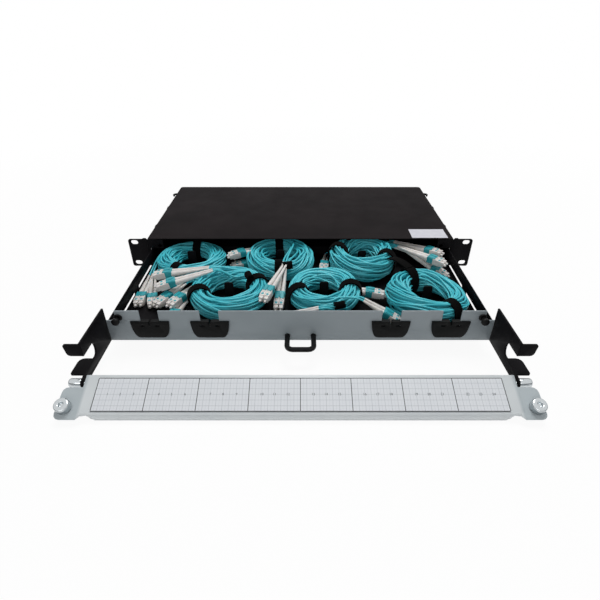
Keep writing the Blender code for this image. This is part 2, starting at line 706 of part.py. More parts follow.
def make_front_panel(finish):
    """The tray's grey front: stepped top corners, four cable notches, and holes."""
    step = CHANNEL_FLANGE_BOTTOM - SLIDE_GAP
    outline = [
        (-PANEL_HALF_WIDTH, PANEL_BOTTOM), (PANEL_HALF_WIDTH, PANEL_BOTTOM),
        (PANEL_HALF_WIDTH, step), (PANEL_STEP_X, step), (PANEL_STEP_X, PANEL_TOP),
    ]
    seat = NOTCH_LEVEL - GROMMET_SEAT_DEPTH
    half = NOTCH_WIDTH / 2
    radius = 0.6 * half
    for centre in sorted(NOTCH_CENTRES, reverse=True):
        outline.append((centre + half, PANEL_TOP))
        for begin, hand in ((0, 1), (-pi / 2, -1)):
            for k in range(4):
                angle = begin - k * pi / 6
                outline.append(
                    (centre + hand * (half - radius) + radius * cos(angle),
                     seat + radius + radius * sin(angle))
                )
        outline.append((centre - half, PANEL_TOP))
    outline += [(-PANEL_STEP_X, PANEL_TOP), (-PANEL_STEP_X, step), (-PANEL_HALF_WIDTH, step)]
    shape = bmesh.new()
    add_plate(shape, outline, in_front_plane(TRAY_FRONT_Y), (0, PANEL_SHEET, 0))
    panel = link_mesh("front_panel", shape, finish)
    holes = bmesh.new()
    for hand in (-1, 1):
        add_rod(
            holes, (hand * LATCH_X, TRAY_FRONT_Y - CUT_PAST, LATCH_Z),
            (hand * LATCH_X, PANEL_BACK_Y + CUT_PAST, LATCH_Z), LATCH_HOLE_RADIUS,
        )
        add_rod(
            holes, (hand * HANDLE_LEG_SPACING / 2, TRAY_FRONT_Y - CUT_PAST, HANDLE_Z),
            (hand * HANDLE_LEG_SPACING / 2, PANEL_BACK_Y + CUT_PAST, HANDLE_Z),
            HANDLE_ROD_RADIUS + SEAT_GAP,
        )
    return combine(panel, holes, "DIFFERENCE")


def grommet_outline():
    """The half-moon face of an edge grommet, around its notch's middle."""
    half, drop = GROMMET_WIDTH / 2, GROMMET_HEIGHT
    points = [(-half, 0.0), (-0.985 * half, -0.22 * drop)]
    for k in range(1, 6):
        angle = k * pi / 12
        points.append((-half * (0.62 + 0.35 * cos(angle)), -drop * (0.25 + 0.75 * sin(angle))))
    points.append((-0.60 * half, -drop))
    points += [(-u, v) for u, v in points[::-1]]
    return points


def make_grommet(name, centre, finish):
    """A rubber edge grommet: a face each side of the panel and a plug in the notch."""
    face = [(centre + u, NOTCH_LEVEL + v) for u, v in grommet_outline()]
    shape = bmesh.new()
    front = TRAY_FRONT_Y - SEAT_GAP
    add_plate(shape, face, in_front_plane(front), (0, -GROMMET_SKIN, 0))
    grommet = link_mesh(name, shape, finish)
    inner = bmesh.new()
    half = NOTCH_WIDTH / 2 - SEAT_GAP
    low = NOTCH_LEVEL - GROMMET_SEAT_DEPTH + SEAT_GAP
    core = rounded(
        [
            (centre - half, low), (centre + half, low), (centre + half, NOTCH_LEVEL - WELD_INSET),
            (centre - half, NOTCH_LEVEL - WELD_INSET),
        ],
        [0.6 * half, 0.6 * half, 0, 0],
    )
    add_plate(
        inner, core, in_front_plane(front - 0.5 * GROMMET_SKIN),
        (0, PANEL_SHEET + 2 * SEAT_GAP + GROMMET_SKIN, 0),
    )
    combine(grommet, inner, "UNION")
    back = bmesh.new()
    rear = [(centre + 0.8 * u, NOTCH_LEVEL - 2 * WELD_INSET + 0.8 * v) for u, v in grommet_outline()]
    add_plate(
        back, rear, in_front_plane(PANEL_BACK_Y + SEAT_GAP), (0, 0.8 * GROMMET_SKIN, 0)
    )
    combine(grommet, back, "UNION")
    cuts = bmesh.new()
    start = front - GROMMET_SKIN - CUT_PAST
    depth = PANEL_SHEET + 2 * (SEAT_GAP + GROMMET_SKIN + CUT_PAST)
    slit = [
        (centre - GROMMET_SLIT / 2, NOTCH_LEVEL - GROMMET_SLIT_DEPTH),
        (centre + GROMMET_SLIT / 2, NOTCH_LEVEL - GROMMET_SLIT_DEPTH),
        (centre + GROMMET_SLIT / 2, NOTCH_LEVEL + CUT_PAST),
        (centre - GROMMET_SLIT / 2, NOTCH_LEVEL + CUT_PAST),
    ]
    add_plate(cuts, slit, in_front_plane(start), (0, depth, 0))
    for hand in (-1, 1):
        eye = slot_outline(
            centre + hand * GROMMET_EYE_X, NOTCH_LEVEL - GROMMET_EYE_DROP,
            GROMMET_EYE_LENGTH, GROMMET_EYE_HEIGHT, 3,
        )
        add_plate(cuts, eye, in_front_plane(start), (0, depth, 0))
    return combine(grommet, cuts, "DIFFERENCE")


def make_handle(finish):
    """A rod handle, bent square with round corners, its legs in the panel."""
    x = HANDLE_LEG_SPACING / 2
    rear = PANEL_BACK_Y + HANDLE_BACK_REACH
    tip = TRAY_FRONT_Y - HANDLE_REACH
    bend = HANDLE_BEND
    path = [(-x, rear), (-x, (rear + tip + bend) / 2)]
    for begin, hand in ((0, -1), (pi / 2, 1)):
        for k in range(5):
            angle = begin + k * pi / 8
            path.append(
                (hand * (x - bend) - bend * cos(angle) if hand < 0 else x - bend - bend * cos(angle),
                 tip + bend - bend * sin(angle))
            )
    path += [(x, (rear + tip + bend) / 2), (x, rear)]
    line = bpy.data.curves.new("pull_handle", "CURVE")
    line.dimensions = "3D"
    line.bevel_depth = HANDLE_ROD_RADIUS
    line.bevel_resolution = 3
    line.use_fill_caps = True
    spline = line.splines.new("POLY")
    spline.points.add(len(path) - 1)
    for point, (u, v) in zip(spline.points, path):
        point.co = (u, v, HANDLE_Z, 1.0)
    line.materials.append(finish)
    handle = bpy.data.objects.new("pull_handle", line)
    bpy.context.scene.collection.objects.link(handle)
    return handle


def make_latch_socket(name, hand, finish):
    """The latch's guide: a flange on the panel and a barrel through it."""
    flange_front = -SEAT_GAP - LATCH_FLANGE_THICKNESS
    barrel_end = PANEL_SHEET + LATCH_BARREL_LENGTH
    bore = PLUNGER_NECK_RADIUS + SEAT_GAP
    profile = [
        (flange_front, bore), (flange_front, 0.85 * LATCH_FLANGE_RADIUS),
        (0.6 * flange_front, LATCH_FLANGE_RADIUS), (-SEAT_GAP, LATCH_FLANGE_RADIUS),
        (-SEAT_GAP, LATCH_BARREL_RADIUS), (0.8 * barrel_end, LATCH_BARREL_RADIUS),
        (barrel_end, 0.9 * LATCH_BARREL_RADIUS), (barrel_end, bore),
    ]
    shape = bmesh.new()
    add_turned(shape, profile, (hand * LATCH_X, TRAY_FRONT_Y, LATCH_Z), (0, 1, 0), ROUND_SMALL)
    return link_mesh(name, shape, finish)


def make_latch_plunger(name, hand, finish):
    """A push-in plunger: a head on a long neck, drawn pulled out."""
    slide = -SEAT_GAP - LATCH_FLANGE_THICKNESS - SEAT_GAP - LATCH_TRAVEL
    neck, head = PLUNGER_NECK_RADIUS, PLUNGER_HEAD_RADIUS
    tip = PANEL_SHEET + 0.6 * LATCH_BARREL_LENGTH
    profile = [
        (slide - PLUNGER_HEAD_LENGTH, 0.0), (slide - PLUNGER_HEAD_LENGTH, 0.75 * head),
        (slide - 0.8 * PLUNGER_HEAD_LENGTH, 0.95 * head), (slide - 0.5 * PLUNGER_HEAD_LENGTH, head),
        (slide, 0.9 * head), (slide, neck), (tip, neck),
        (tip + PLUNGER_POINT, 0.6 * neck), (tip + PLUNGER_POINT, 0.0),
    ]
    centre = (hand * LATCH_X, TRAY_FRONT_Y, LATCH_Z)
    shape = bmesh.new()
    add_domed(shape, profile, centre, (0, 1, 0), ROUND_SMALL)
    return link_mesh(name, shape, finish)


def make_bracket(name, hand, finish):
    """A bent side bracket: an arm with a striker tab, an open mouth, and a shelf and hinge lug."""
    arm_low = BRACKET_TOP - BRACKET_ARM_HEIGHT
    rear = PANEL_BACK_Y
    lug_low = HINGE_Z - 0.9 * BRACKET_LUG_RADIUS
    mouth_mid = (arm_low + BRACKET_SHELF_Z) / 2
    mouth_rise = (arm_low - BRACKET_SHELF_Z) / 2
    mouth_run = 0.55 * mouth_rise
    outline = [(rear, BRACKET_BOTTOM), (rear, BRACKET_TOP), (BRACKET_ARM_TIP_Y, BRACKET_TOP)]
    outline.append((BRACKET_ARM_TIP_Y, arm_low))
    for k in range(7):
        angle = pi / 2 - k * pi / 6
        outline.append(
            (BRACKET_MOUTH_REAR_Y - mouth_run + mouth_run * cos(angle),
             mouth_mid + mouth_rise * sin(angle))
        )
    outline.append((BRACKET_SHELF_FRONT_Y, BRACKET_SHELF_Z))
    for k in range(7):
        angle = radians(75) + k * radians(190) / 6
        outline.append(
            (HINGE_Y + BRACKET_LUG_RADIUS * cos(angle), HINGE_Z + BRACKET_LUG_RADIUS * sin(angle))
        )
    outline.append((HINGE_Y + 2.2 * BRACKET_LUG_RADIUS, BRACKET_BOTTOM))
    shape = bmesh.new()
    add_plate(shape, outline, in_side_plane(hand * BRACKET_INNER_X), (hand * BRACKET_SHEET, 0, 0))
    bracket = link_mesh(name, shape, finish)
    tabs = bmesh.new()
    start = BRACKET_INNER_X + 0.3 * BRACKET_SHEET
    reach = BRACKET_OUTER_X + BRACKET_TAB_REACH
    low, high = arm_low + BRACKET_TAB_EDGE, BRACKET_TOP - BRACKET_TAB_EDGE
    striker = rounded(
        [
            (start, low), (reach - BRACKET_CORNER, low), (reach, high), (start, high),
        ],
        [0, 2 * BRACKET_CORNER, BRACKET_CORNER, 0],
    )
    add_plate(
        tabs, [(hand * u, v) for u, v in striker],
        in_front_plane(BRACKET_ARM_TIP_Y - 0.4 * BRACKET_SHEET), (0, BRACKET_SHEET, 0),
    )
    edge = BRACKET_OUTER_X + BRACKET_SHELF_REACH
    shelf = rounded(
        [
            (start, BRACKET_SHELF_REAR_Y), (start, BRACKET_SHELF_FRONT_Y),
            (edge, BRACKET_SHELF_FRONT_Y), (edge, BRACKET_SHELF_REAR_Y),
        ],
        [0, 0, BRACKET_CORNER, 3 * BRACKET_CORNER],
    )
    add_plate(
        tabs, [(hand * u, v) for u, v in shelf],
        in_level_plane(BRACKET_SHELF_Z - 0.9 * BRACKET_SHEET), (0, 0, BRACKET_SHEET),
    )
    combine(bracket, tabs, "UNION")
    hole = bmesh.new()
    add_rod(
        hole, (hand * (BRACKET_INNER_X - CUT_PAST), HINGE_Y, HINGE_Z),
        (hand * (BRACKET_OUTER_X + CUT_PAST), HINGE_Y, HINGE_Z), PIN_HOLE_RADIUS,
    )
    return combine(bracket, hole, "DIFFERENCE")


def make_hinge_pin(name, hand, finish):
    """A bright hinge pin: a smooth round head outside the lug and a shank into the door."""
    seat = BRACKET_OUTER_X + SEAT_GAP
    length, head = PIN_HEAD_LENGTH, PIN_HEAD_RADIUS
    profile = [
        (-PIN_REACH, 0.0), (-PIN_REACH, PIN_RADIUS), (0.0, PIN_RADIUS), (0.0, head),
        (0.86 * length, head), (0.96 * length, 0.86 * head), (length, 0.6 * head), (length, 0.0),
    ]
    shape = bmesh.new()
    add_domed(shape, profile, (hand * seat, HINGE_Y, HINGE_Z), (hand, 0, 0), 16)
    return link_mesh(name, shape, finish)


# The door is drawn shut, about its hinge: Y towards the tray, Z up along the door
def make_door(hinge, finish):
    """The label door: a flat panel with a bent lip, an ear at each end and hinge knuckles."""
    middle = DOOR_INNER_OFFSET - DOOR_SHEET / 2
    low = -DOOR_EDGE_DROP
    path = [(middle, low), (middle, low + DOOR_HEIGHT), (middle - DOOR_LIP, low + DOOR_HEIGHT)]
    section = sheet_section(path, DOOR_SHEET, DOOR_BEND, 4)
    shape = bmesh.new()
    add_plate(
        shape, section, lambda u, v: (-DOOR_HALF_WIDTH, u, v), (2 * DOOR_HALF_WIDTH, 0, 0)
    )
    door = link_mesh("door_plate", shape, finish, hinge)
    back = DOOR_INNER_OFFSET - DOOR_SHEET
    parts = bmesh.new()
    for hand in (-1, 1):
        reach = DOOR_HALF_WIDTH + DOOR_EAR_REACH
        root = DOOR_HALF_WIDTH - DOOR_EAR_ROOT
        ear = rounded(
            [
                (root, low + DOOR_EAR_START), (reach - DOOR_EAR_SLANT, low + DOOR_EAR_START),
                (reach, low + DOOR_EAR_END), (root, low + DOOR_EAR_END),
            ],
            [0, DOOR_EAR_CORNER, DOOR_EAR_CORNER, 0],
        )
        add_plate(
            parts, [(hand * u, v) for u, v in ear],
            in_front_plane(back + WELD_INSET), (0, DOOR_SHEET - 2 * WELD_INSET, 0),
        )
    combine(door, parts, "UNION")
    knuckles = bmesh.new()
    for hand in (-1, 1):
        outline = [(DOOR_INNER_OFFSET - 0.3 * DOOR_SHEET, low + KNUCKLE_START)]
        for k in range(7):
            angle = -pi / 2 - k * pi / 6
            outline.append((KNUCKLE_RADIUS * cos(angle), KNUCKLE_RADIUS * sin(angle)))
        outline.append((DOOR_INNER_OFFSET - 0.3 * DOOR_SHEET, KNUCKLE_RADIUS))
        outer = DOOR_HALF_WIDTH - 2 * WELD_INSET
        add_plate(
            knuckles, outline, in_side_plane(hand * outer), (-hand * KNUCKLE_SHEET, 0, 0)
        )
    combine(door, knuckles, "UNION")
    ends = bmesh.new()
    for hand in (-1, 1):
        inner, outer = hand * DOOR_SCALLOP_X, hand * (DOOR_HALF_WIDTH + CUT_PAST)
        add_box(
            ends, (min(inner, outer), middle - 2 * DOOR_LIP, low + DOOR_HEIGHT - 3 * DOOR_BEND),
            (max(inner, outer), back - 4 * WELD_INSET, low + DOOR_HEIGHT + DOOR_BEND),
        )
    combine(door, ends, "DIFFERENCE")
    cuts = bmesh.new()
    for hand in (-1, 1):
        add_rod(
            cuts, (hand * (DOOR_HALF_WIDTH - PIN_BORE_DEPTH), 0, 0),
            (hand * (DOOR_HALF_WIDTH + CUT_PAST), 0, 0), PIN_HOLE_RADIUS,
        )
        add_rod(
            cuts, (hand * MAGNET_X, back - CUT_PAST, low + MAGNET_U),
            (hand * MAGNET_X, DOOR_INNER_OFFSET + CUT_PAST, low + MAGNET_U), MAGNET_RECESS_RADIUS,
        )
        centre_z = low + DOOR_EAR_END + DOOR_SCALLOP_RADIUS - DOOR_SCALLOP_DEPTH
        add_rod(
            cuts, (hand * DOOR_SCALLOP_X, -2 * DOOR_LIP, centre_z),
            (hand * DOOR_SCALLOP_X, 2 * DOOR_LIP, centre_z), DOOR_SCALLOP_RADIUS, ROUND,
        )
    return combine(door, cuts, "DIFFERENCE")


def make_label_card(hinge, finish):
    """The clear-faced label strip on the door's inner face."""
    face = DOOR_INNER_OFFSET + SEAT_GAP
    low = -DOOR_EDGE_DROP + CARD_EDGE
    outline = rounded(
        [
            (-CARD_HALF_WIDTH, low), (CARD_HALF_WIDTH, low),
            (CARD_HALF_WIDTH, low + CARD_HEIGHT), (-CARD_HALF_WIDTH, low + CARD_HEIGHT),
        ],
        CARD_CORNER,
    )
    shape = bmesh.new()
    add_plate(shape, outline, in_front_plane(face), (0, CARD_THICKNESS, 0))
    return link_mesh("label_card", shape, finish, hinge)


def make_magnet(name, hand, hinge, finish):
    """A round pot magnet with a screw recess, on the door's ear."""
    base = DOOR_INNER_OFFSET + SEAT_GAP
    top = base + MAGNET_HEIGHT
    edge, recess = MAGNET_RADIUS, MAGNET_RECESS_RADIUS
    floor = top - MAGNET_RECESS_DEPTH
    profile = [
        (base, 0.0), (base, edge), (top - MAGNET_EDGE, edge), (top, edge - MAGNET_EDGE), (top, recess),
        (floor, 0.8 * recess), (floor, 0.0),
    ]
    shape = bmesh.new()
    centre = (hand * MAGNET_X, 0, -DOOR_EDGE_DROP + MAGNET_U)
    add_domed(shape, profile, centre, (0, 1, 0))
    return link_mesh(name, shape, finish, hinge)


def coil_share(name, height, angle):
    """A coil's height at an angle, as a share of its full height."""
    if name not in FLAT_SIDES:
        return 1.0
    direction, low = FLAT_SIDES[name]
    nearness = (0.5 + 0.5 * cos(angle - radians(direction))) ** 2
    return 1.0 - (1.0 - low / height) * nearness


def make_coil(name, x, back, diameter, height, finish):
    """A coil of leads, as the soft ring that they fill."""
    half_width, half_height = COIL_SECTION_WIDTH / 2, height / 2
    ring = diameter / 2 - half_width
    middle = COIL_BOTTOM + half_height
    profile = [
        (middle + half_height * sin(2 * pi * k / COIL_RING),
         ring + half_width * cos(2 * pi * k / COIL_RING))
        for k in range(COIL_RING)
    ]
    shape = bmesh.new()
    y = TRAY_FRONT_Y + back
    add_turned(shape, profile, (x, y, 0), (0, 0, 1), COIL_TURN)
    for vert in shape.verts:
        share = coil_share(name, height, atan2(vert.co.y - y, vert.co.x - x))
        vert.co.z = COIL_BOTTOM + (vert.co.z - COIL_BOTTOM) * share
    bmesh.ops.triangulate(shape, faces=shape.faces)
    return link_mesh(f"lead_coil_{name}", shape, finish)


def make_post(name, x, back, finish):
    """An upright tie post with a foot, in the middle of a coil."""
    half = POST_WIDTH / 2
    y = TRAY_FRONT_Y + back
    base = TRAY_FLOOR_TOP + SEAT_GAP
    top = base + POST_HEIGHT
    front = rounded(
        [(x - half, base), (x + half, base), (x + half, top), (x - half, top)],
        [0, 0, POST_CORNER, POST_CORNER],
    )
    shape = bmesh.new()
    add_plate(shape, front, in_front_plane(y), (0, POST_SHEET, 0))
    post = link_mesh(name, shape, finish)
    foot = bmesh.new()
    foot_half = half - 2 * WELD_INSET
    level = rounded(
        [
            (x - foot_half, y + 0.5 * POST_SHEET), (x + foot_half, y + 0.5 * POST_SHEET),
            (x + foot_half, y + POST_FOOT), (x - foot_half, y + POST_FOOT),
        ],
        [0, 0, POST_CORNER, POST_CORNER],
    )
    add_plate(foot, level, in_level_plane(base + WELD_INSET), (0, 0, POST_SHEET))
    return combine(post, foot, "UNION")


def make_strap(coil, direction, finish):
    """A hook-and-loop strap round one side of a coil."""
    name, x, back, diameter, height = coil
    angle = radians(direction)
    height *= coil_share(name, height, angle)
    outward = Vector((cos(angle), sin(angle), 0))
    across = Vector((-sin(angle), cos(angle), 0))
    ring = diameter / 2 - COIL_SECTION_WIDTH / 2
    middle = Vector((x, TRAY_FRONT_Y + back, COIL_BOTTOM + height / 2))
    centre = middle + outward * ring
    bulge = diameter / 2 - ((diameter / 2) ** 2 - (STRAP_WIDTH / 2) ** 2) ** 0.5
    shape = bmesh.new()
    loops = []
    for grow in (SEAT_GAP, SEAT_GAP + STRAP_THICKNESS):
        half_width = COIL_SECTION_WIDTH / 2 + bulge + grow
        half_height = height / 2 + grow
        loops.append([
            centre + outward * half_width * cos(2 * pi * k / COIL_RING) / cos(pi / COIL_RING)
            + Vector((0, 0, half_height * sin(2 * pi * k / COIL_RING) / cos(pi / COIL_RING)))
            for k in range(COIL_RING)
        ])
    inner, outer = [
        [shape.verts.new(point - across * STRAP_WIDTH / 2) for point in loop] for loop in loops
    ]
    ring_faces = [
        shape.faces.new((inner[k], inner[(k + 1) % COIL_RING], outer[(k + 1) % COIL_RING], outer[k]))
        for k in range(COIL_RING)
    ]
    grown = bmesh.ops.extrude_face_region(shape, geom=ring_faces)
    moved = [part for part in grown["geom"] if isinstance(part, bmesh.types.BMVert)]
    bmesh.ops.translate(shape, verts=moved, vec=across * STRAP_WIDTH)
    return link_mesh(f"coil_strap_{name}", shape, finish)


def plug_mesh(finish):
    """A duplex plug with its clip and boot. Its mouth is at the origin, facing +Y, on Z = 0."""
    half, height = PLUG_BODY_WIDTH / 2, PLUG_BODY_HEIGHT
    gap = PLUG_NOSE_GAP / 2
    clip = PLUG_NOSE_LENGTH + PLUG_BODY_LENGTH
    boot = clip + PLUG_CLIP_LENGTH
    end = PLUG_BOOT_END / 2
    middle = height / 2
    sections = [
        (PLUG_NOSE_LENGTH, half, 0.0, height),
        (clip, half, 0.0, height),
        (clip + PLUG_CLIP_STEP, 0.92 * half, 0.0, height + PLUG_CLIP_STEP),
        (boot, 0.88 * half, 0.03 * height, height),
        (boot + 0.3 * PLUG_BOOT_LENGTH, 0.45 * half, 0.16 * height, 0.78 * height),
        (boot + PLUG_BOOT_LENGTH, end, middle - end, middle + end),
    ]
    shape = bmesh.new()
    rings = []
    for along, wide, low, high in sections:
        slot = gap * wide / half
        across = [-wide, -slot, slot, wide]
        ring = [shape.verts.new((u, -along, low)) for u in across]
        ring += [shape.verts.new((u, -along, high)) for u in across[::-1]]
        rings.append(ring)
    for one, two in zip(rings, rings[1:]):
        for k in range(8):
            shape.faces.new((one[k], one[(k + 1) % 8], two[(k + 1) % 8], two[k]))
    caps = []
    for ring in (rings[0], rings[-1]):
        caps.append([
            shape.faces.new((ring[k], ring[k + 1], ring[6 - k], ring[7 - k])) for k in range(3)
        ])
    bmesh.ops.recalc_face_normals(shape, faces=shape.faces)
    for nose in (caps[0][0], caps[0][2]):
        grown = bmesh.ops.extrude_discrete_faces(shape, faces=[nose])["faces"]
        bmesh.ops.translate(shape, verts=grown[0].verts, vec=(0, PLUG_NOSE_LENGTH, 0))
        bmesh.ops.scale(
            shape, verts=grown[0].verts, vec=(0.86, 1, 0.8),
            space=Matrix.Translation(-grown[0].calc_center_median()),
        )
    bmesh.ops.recalc_face_normals(shape, faces=shape.faces)
    mesh = bpy.data.meshes.new("duplex_plug")
    shape.to_mesh(mesh)
    shape.free()
    mesh.materials.append(finish)
    return mesh


def place_plug(mesh, name, x, back, rise, heading, dip):
    plug = bpy.data.objects.new(name, mesh)
    plug.location = (x, TRAY_FRONT_Y + back, TRAY_FLOOR_TOP + rise)
    plug.rotation_euler = (-radians(dip), 0, radians(heading) - pi / 2)
    bpy.context.scene.collection.objects.link(plug)
    return plug


def build():
    clear_scene()
    black_steel = make_material("black_powder_coat", (0.012, 0.012, 0.013), 0.45, 0.0)
    zinc = make_material("zinc_plated_steel", (0.62, 0.63, 0.64), 0.35, 0.9)
    grey_paint = make_material("grey_satin_paint", (0.20, 0.23, 0.25), 0.4, 0.0)
    rubber = make_material("black_rubber", (0.015, 0.015, 0.015), 0.7, 0.0)
    black_plastic = make_material("black_nylon", (0.014, 0.014, 0.015), 0.5, 0.0)
    door_metal = make_material("satin_aluminium", (0.72, 0.74, 0.75), 0.32, 0.8)
    chrome = make_material("chrome", (0.85, 0.86, 0.88), 0.08, 1.0)
    paper = make_material("label_card", (0.80, 0.81, 0.82), 0.5, 0.0)
    aqua = make_material("aqua_fibre_jacket", (0.05, 0.46, 0.50), 0.4, 0.0)
    woven = make_material("black_hook_and_loop", (0.01, 0.01, 0.01), 0.9, 0.0)
    plug_plastic = make_material("beige_plug_plastic", (0.72, 0.72, 0.69), 0.4, 0.0)

    make_chassis(black_steel)
    make_cover(black_steel)
    make_tray_pan(black_steel)
    make_front_panel(grey_paint)
    make_handle(black_plastic)
    for side, hand in (("left", -1), ("right", 1)):
        make_ear(f"rack_ear_{side}", hand, black_steel)
        for place, screw_y in zip(("front", "rear"), EAR_SCREW_Y):
            make_ear_screw(f"ear_screw_{side}_{place}", hand, screw_y, black_steel)
        make_cable_ring(f"cable_ring_{side}", hand, black_plastic)
        make_bushing(f"cable_bushing_{side}", hand, rubber)
        make_channel(f"slide_channel_{side}", hand, zinc)
        make_latch_socket(f"latch_socket_{side}", hand, black_plastic)
        make_latch_plunger(f"latch_plunger_{side}", hand, black_plastic)
        make_bracket(f"side_bracket_{side}", hand, black_steel)
        make_hinge_pin(f"hinge_pin_{side}", hand, chrome)
    for number, centre in enumerate(NOTCH_CENTRES, 1):
        make_grommet(f"edge_grommet_{number}", centre, rubber)

    hinge = bpy.data.objects.new("door_hinge_axis", None)
    hinge.location = (0, HINGE_Y, HINGE_Z)
    hinge.rotation_euler = (radians(DOOR_OPEN_ANGLE), 0, 0)
    bpy.context.scene.collection.objects.link(hinge)
    make_door(hinge, door_metal)
    make_label_card(hinge, paper)
    for side, hand in (("left", -1), ("right", 1)):
        make_magnet(f"door_magnet_{side}", hand, hinge, chrome)

    for coil in COILS:
        make_coil(*coil, aqua)
        make_post(f"tie_post_{coil[0]}", coil[1], coil[2], black_steel)
    coils = {coil[0]: coil for coil in COILS}
    for name, direction in STRAPS:
        make_strap(coils[name], direction, woven)
    duplex = plug_mesh(plug_plastic)
    for plug in PLUGS:
        place_plug(duplex, *plug)


build()
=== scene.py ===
"""Looks of a one-unit fibre patch panel: an enclosure with its tray pulled out, six coils of
duplex leads in the tray and a label door lying open in front of it."""

import json
import math
from collections import namedtuple

import bmesh
import bpy
from mathutils import Matrix, Vector, noise

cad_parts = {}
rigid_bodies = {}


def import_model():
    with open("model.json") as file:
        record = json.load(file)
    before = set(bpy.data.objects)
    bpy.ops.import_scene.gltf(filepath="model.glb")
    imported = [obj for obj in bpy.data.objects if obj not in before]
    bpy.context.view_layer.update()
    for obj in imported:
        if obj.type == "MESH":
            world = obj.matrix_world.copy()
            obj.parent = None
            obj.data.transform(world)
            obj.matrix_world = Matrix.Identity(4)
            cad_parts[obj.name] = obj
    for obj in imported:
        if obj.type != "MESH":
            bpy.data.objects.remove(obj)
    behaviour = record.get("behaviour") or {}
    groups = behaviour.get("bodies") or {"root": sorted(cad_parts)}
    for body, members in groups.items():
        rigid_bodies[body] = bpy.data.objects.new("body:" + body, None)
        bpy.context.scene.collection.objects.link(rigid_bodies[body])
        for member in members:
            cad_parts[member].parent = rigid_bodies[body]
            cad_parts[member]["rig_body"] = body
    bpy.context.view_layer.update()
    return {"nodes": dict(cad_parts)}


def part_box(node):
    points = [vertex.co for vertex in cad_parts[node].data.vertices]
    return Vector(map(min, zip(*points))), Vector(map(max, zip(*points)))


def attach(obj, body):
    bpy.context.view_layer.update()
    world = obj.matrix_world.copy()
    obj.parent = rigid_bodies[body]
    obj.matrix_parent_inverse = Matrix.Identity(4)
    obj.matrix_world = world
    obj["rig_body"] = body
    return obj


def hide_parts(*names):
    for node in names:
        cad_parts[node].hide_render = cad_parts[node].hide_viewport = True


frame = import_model()
NODES = frame["nodes"]
MM = 0.001

# Colours and materials

# Sizes of the grains in millimetres: a coat's orange peel, and the marks of turning
ORANGE_PEEL = 0.9
TURNING_MARK = 0.5
# The door's flat ears start this far from the middle, in millimetres
DOOR_EARS = (207, 210)


def linear(colour):
    """An sRGB hex colour as the linear values that Blender takes."""
    values = [int(colour[i:i + 2], 16) / 255 for i in (0, 2, 4)]
    return [v / 12.92 if v <= 0.04045 else ((v + 0.055) / 1.055) ** 2.4 for v in values] + [1.0]


def add_node(tree, kind, inputs=None, **settings):
    """Adds a node with its settings, and links or sets its inputs by name or number."""
    made = tree.nodes.new(kind)
    for key, value in settings.items():
        setattr(made, key, value)
    for key, value in (inputs or {}).items():
        if isinstance(value, bpy.types.NodeSocket):
            tree.links.new(value, made.inputs[key])
        else:
            made.inputs[key].default_value = value
    return made


def new_finish(name, constants):
    """A material, its tree, its shader with the constants set, and the object's coordinates."""
    finish = bpy.data.materials.new(name)
    finish.use_nodes = True
    tree = finish.node_tree
    shader = tree.nodes["Principled BSDF"]
    for key, value in constants.items():
        shader.inputs[key].default_value = value
    place = add_node(tree, "ShaderNodeTexCoord").outputs["Object"]
    return finish, tree, shader, place


def blend_colours(tree, share, first, second):
    """The result of mixing two colours, each a hex value or a socket."""
    sides = [linear(c) if isinstance(c, str) else c for c in (first, second)]
    return add_node(tree, "ShaderNodeMix", {0: share, 6: sides[0], 7: sides[1]},
                    data_type="RGBA").outputs[2]


def ramp(tree, value, low, high, new_low=0.0, new_high=1.0):
    """A value moved from one range to another and clamped."""
    return add_node(tree, "ShaderNodeMapRange", {
        "Value": value, "From Min": low, "From Max": high, "To Min": new_low, "To Max": new_high,
    }).outputs[0]


def grain(tree, place, size, detail=2.0, rough=0.5):
    """Noise whose grains are about size millimetres across."""
    return add_node(tree, "ShaderNodeTexNoise", {
        "Vector": place, "Scale": 1000.0 / size, "Detail": detail, "Roughness": rough,
    }).outputs[0]


def bumped(tree, shader, height, depth):
    """Gives the shader a bump of a depth in millimetres."""
    bump = add_node(tree, "ShaderNodeBump", {"Height": height, "Distance": depth * MM})
    tree.links.new(bump.outputs[0], shader.inputs["Normal"])


def powder_coat(name, colour, lighter, rough, depth=0.05, gloss=0.45):
    """Textured powder coating, baked on sheet steel: fine orange peel, and a soft sheen that
    changes a little over a span of a few centimetres."""
    finish, tree, shader, place = new_finish(name, {"IOR": 1.5, "Specular IOR Level": gloss})
    cloud = ramp(tree, grain(tree, place, 70, 3.0), 0.35, 0.65)
    speck = ramp(tree, grain(tree, place, ORANGE_PEEL, 2.0), 0.3, 0.7)
    shade = blend_colours(tree, cloud, colour, lighter)
    shade = blend_colours(tree, ramp(tree, speck, 0.0, 1.0, 0.0, 0.22), shade, lighter)
    tree.links.new(shade, shader.inputs["Base Color"])
    tree.links.new(ramp(tree, grain(tree, place, 25, 4.0), 0.3, 0.7, rough - 0.05, rough + 0.06),
                   shader.inputs["Roughness"])
    bumped(tree, shader, speck, depth)
    return finish


def moulded(name, colour, darker, rough, constants=None, depth=0.02):
    """Injection-moulded plastic: an even satin skin with a little flow shading."""
    values = {"IOR": 1.49}
    values.update(constants or {})
    finish, tree, shader, place = new_finish(name, values)
    flow = ramp(tree, grain(tree, place, 6, 2.0), 0.35, 0.7)
    tree.links.new(blend_colours(tree, flow, colour, darker), shader.inputs["Base Color"])
    tree.links.new(ramp(tree, flow, 0.0, 1.0, rough, rough + 0.08), shader.inputs["Roughness"])
    bumped(tree, shader, grain(tree, place, 0.6, 2.0), depth)
    return finish


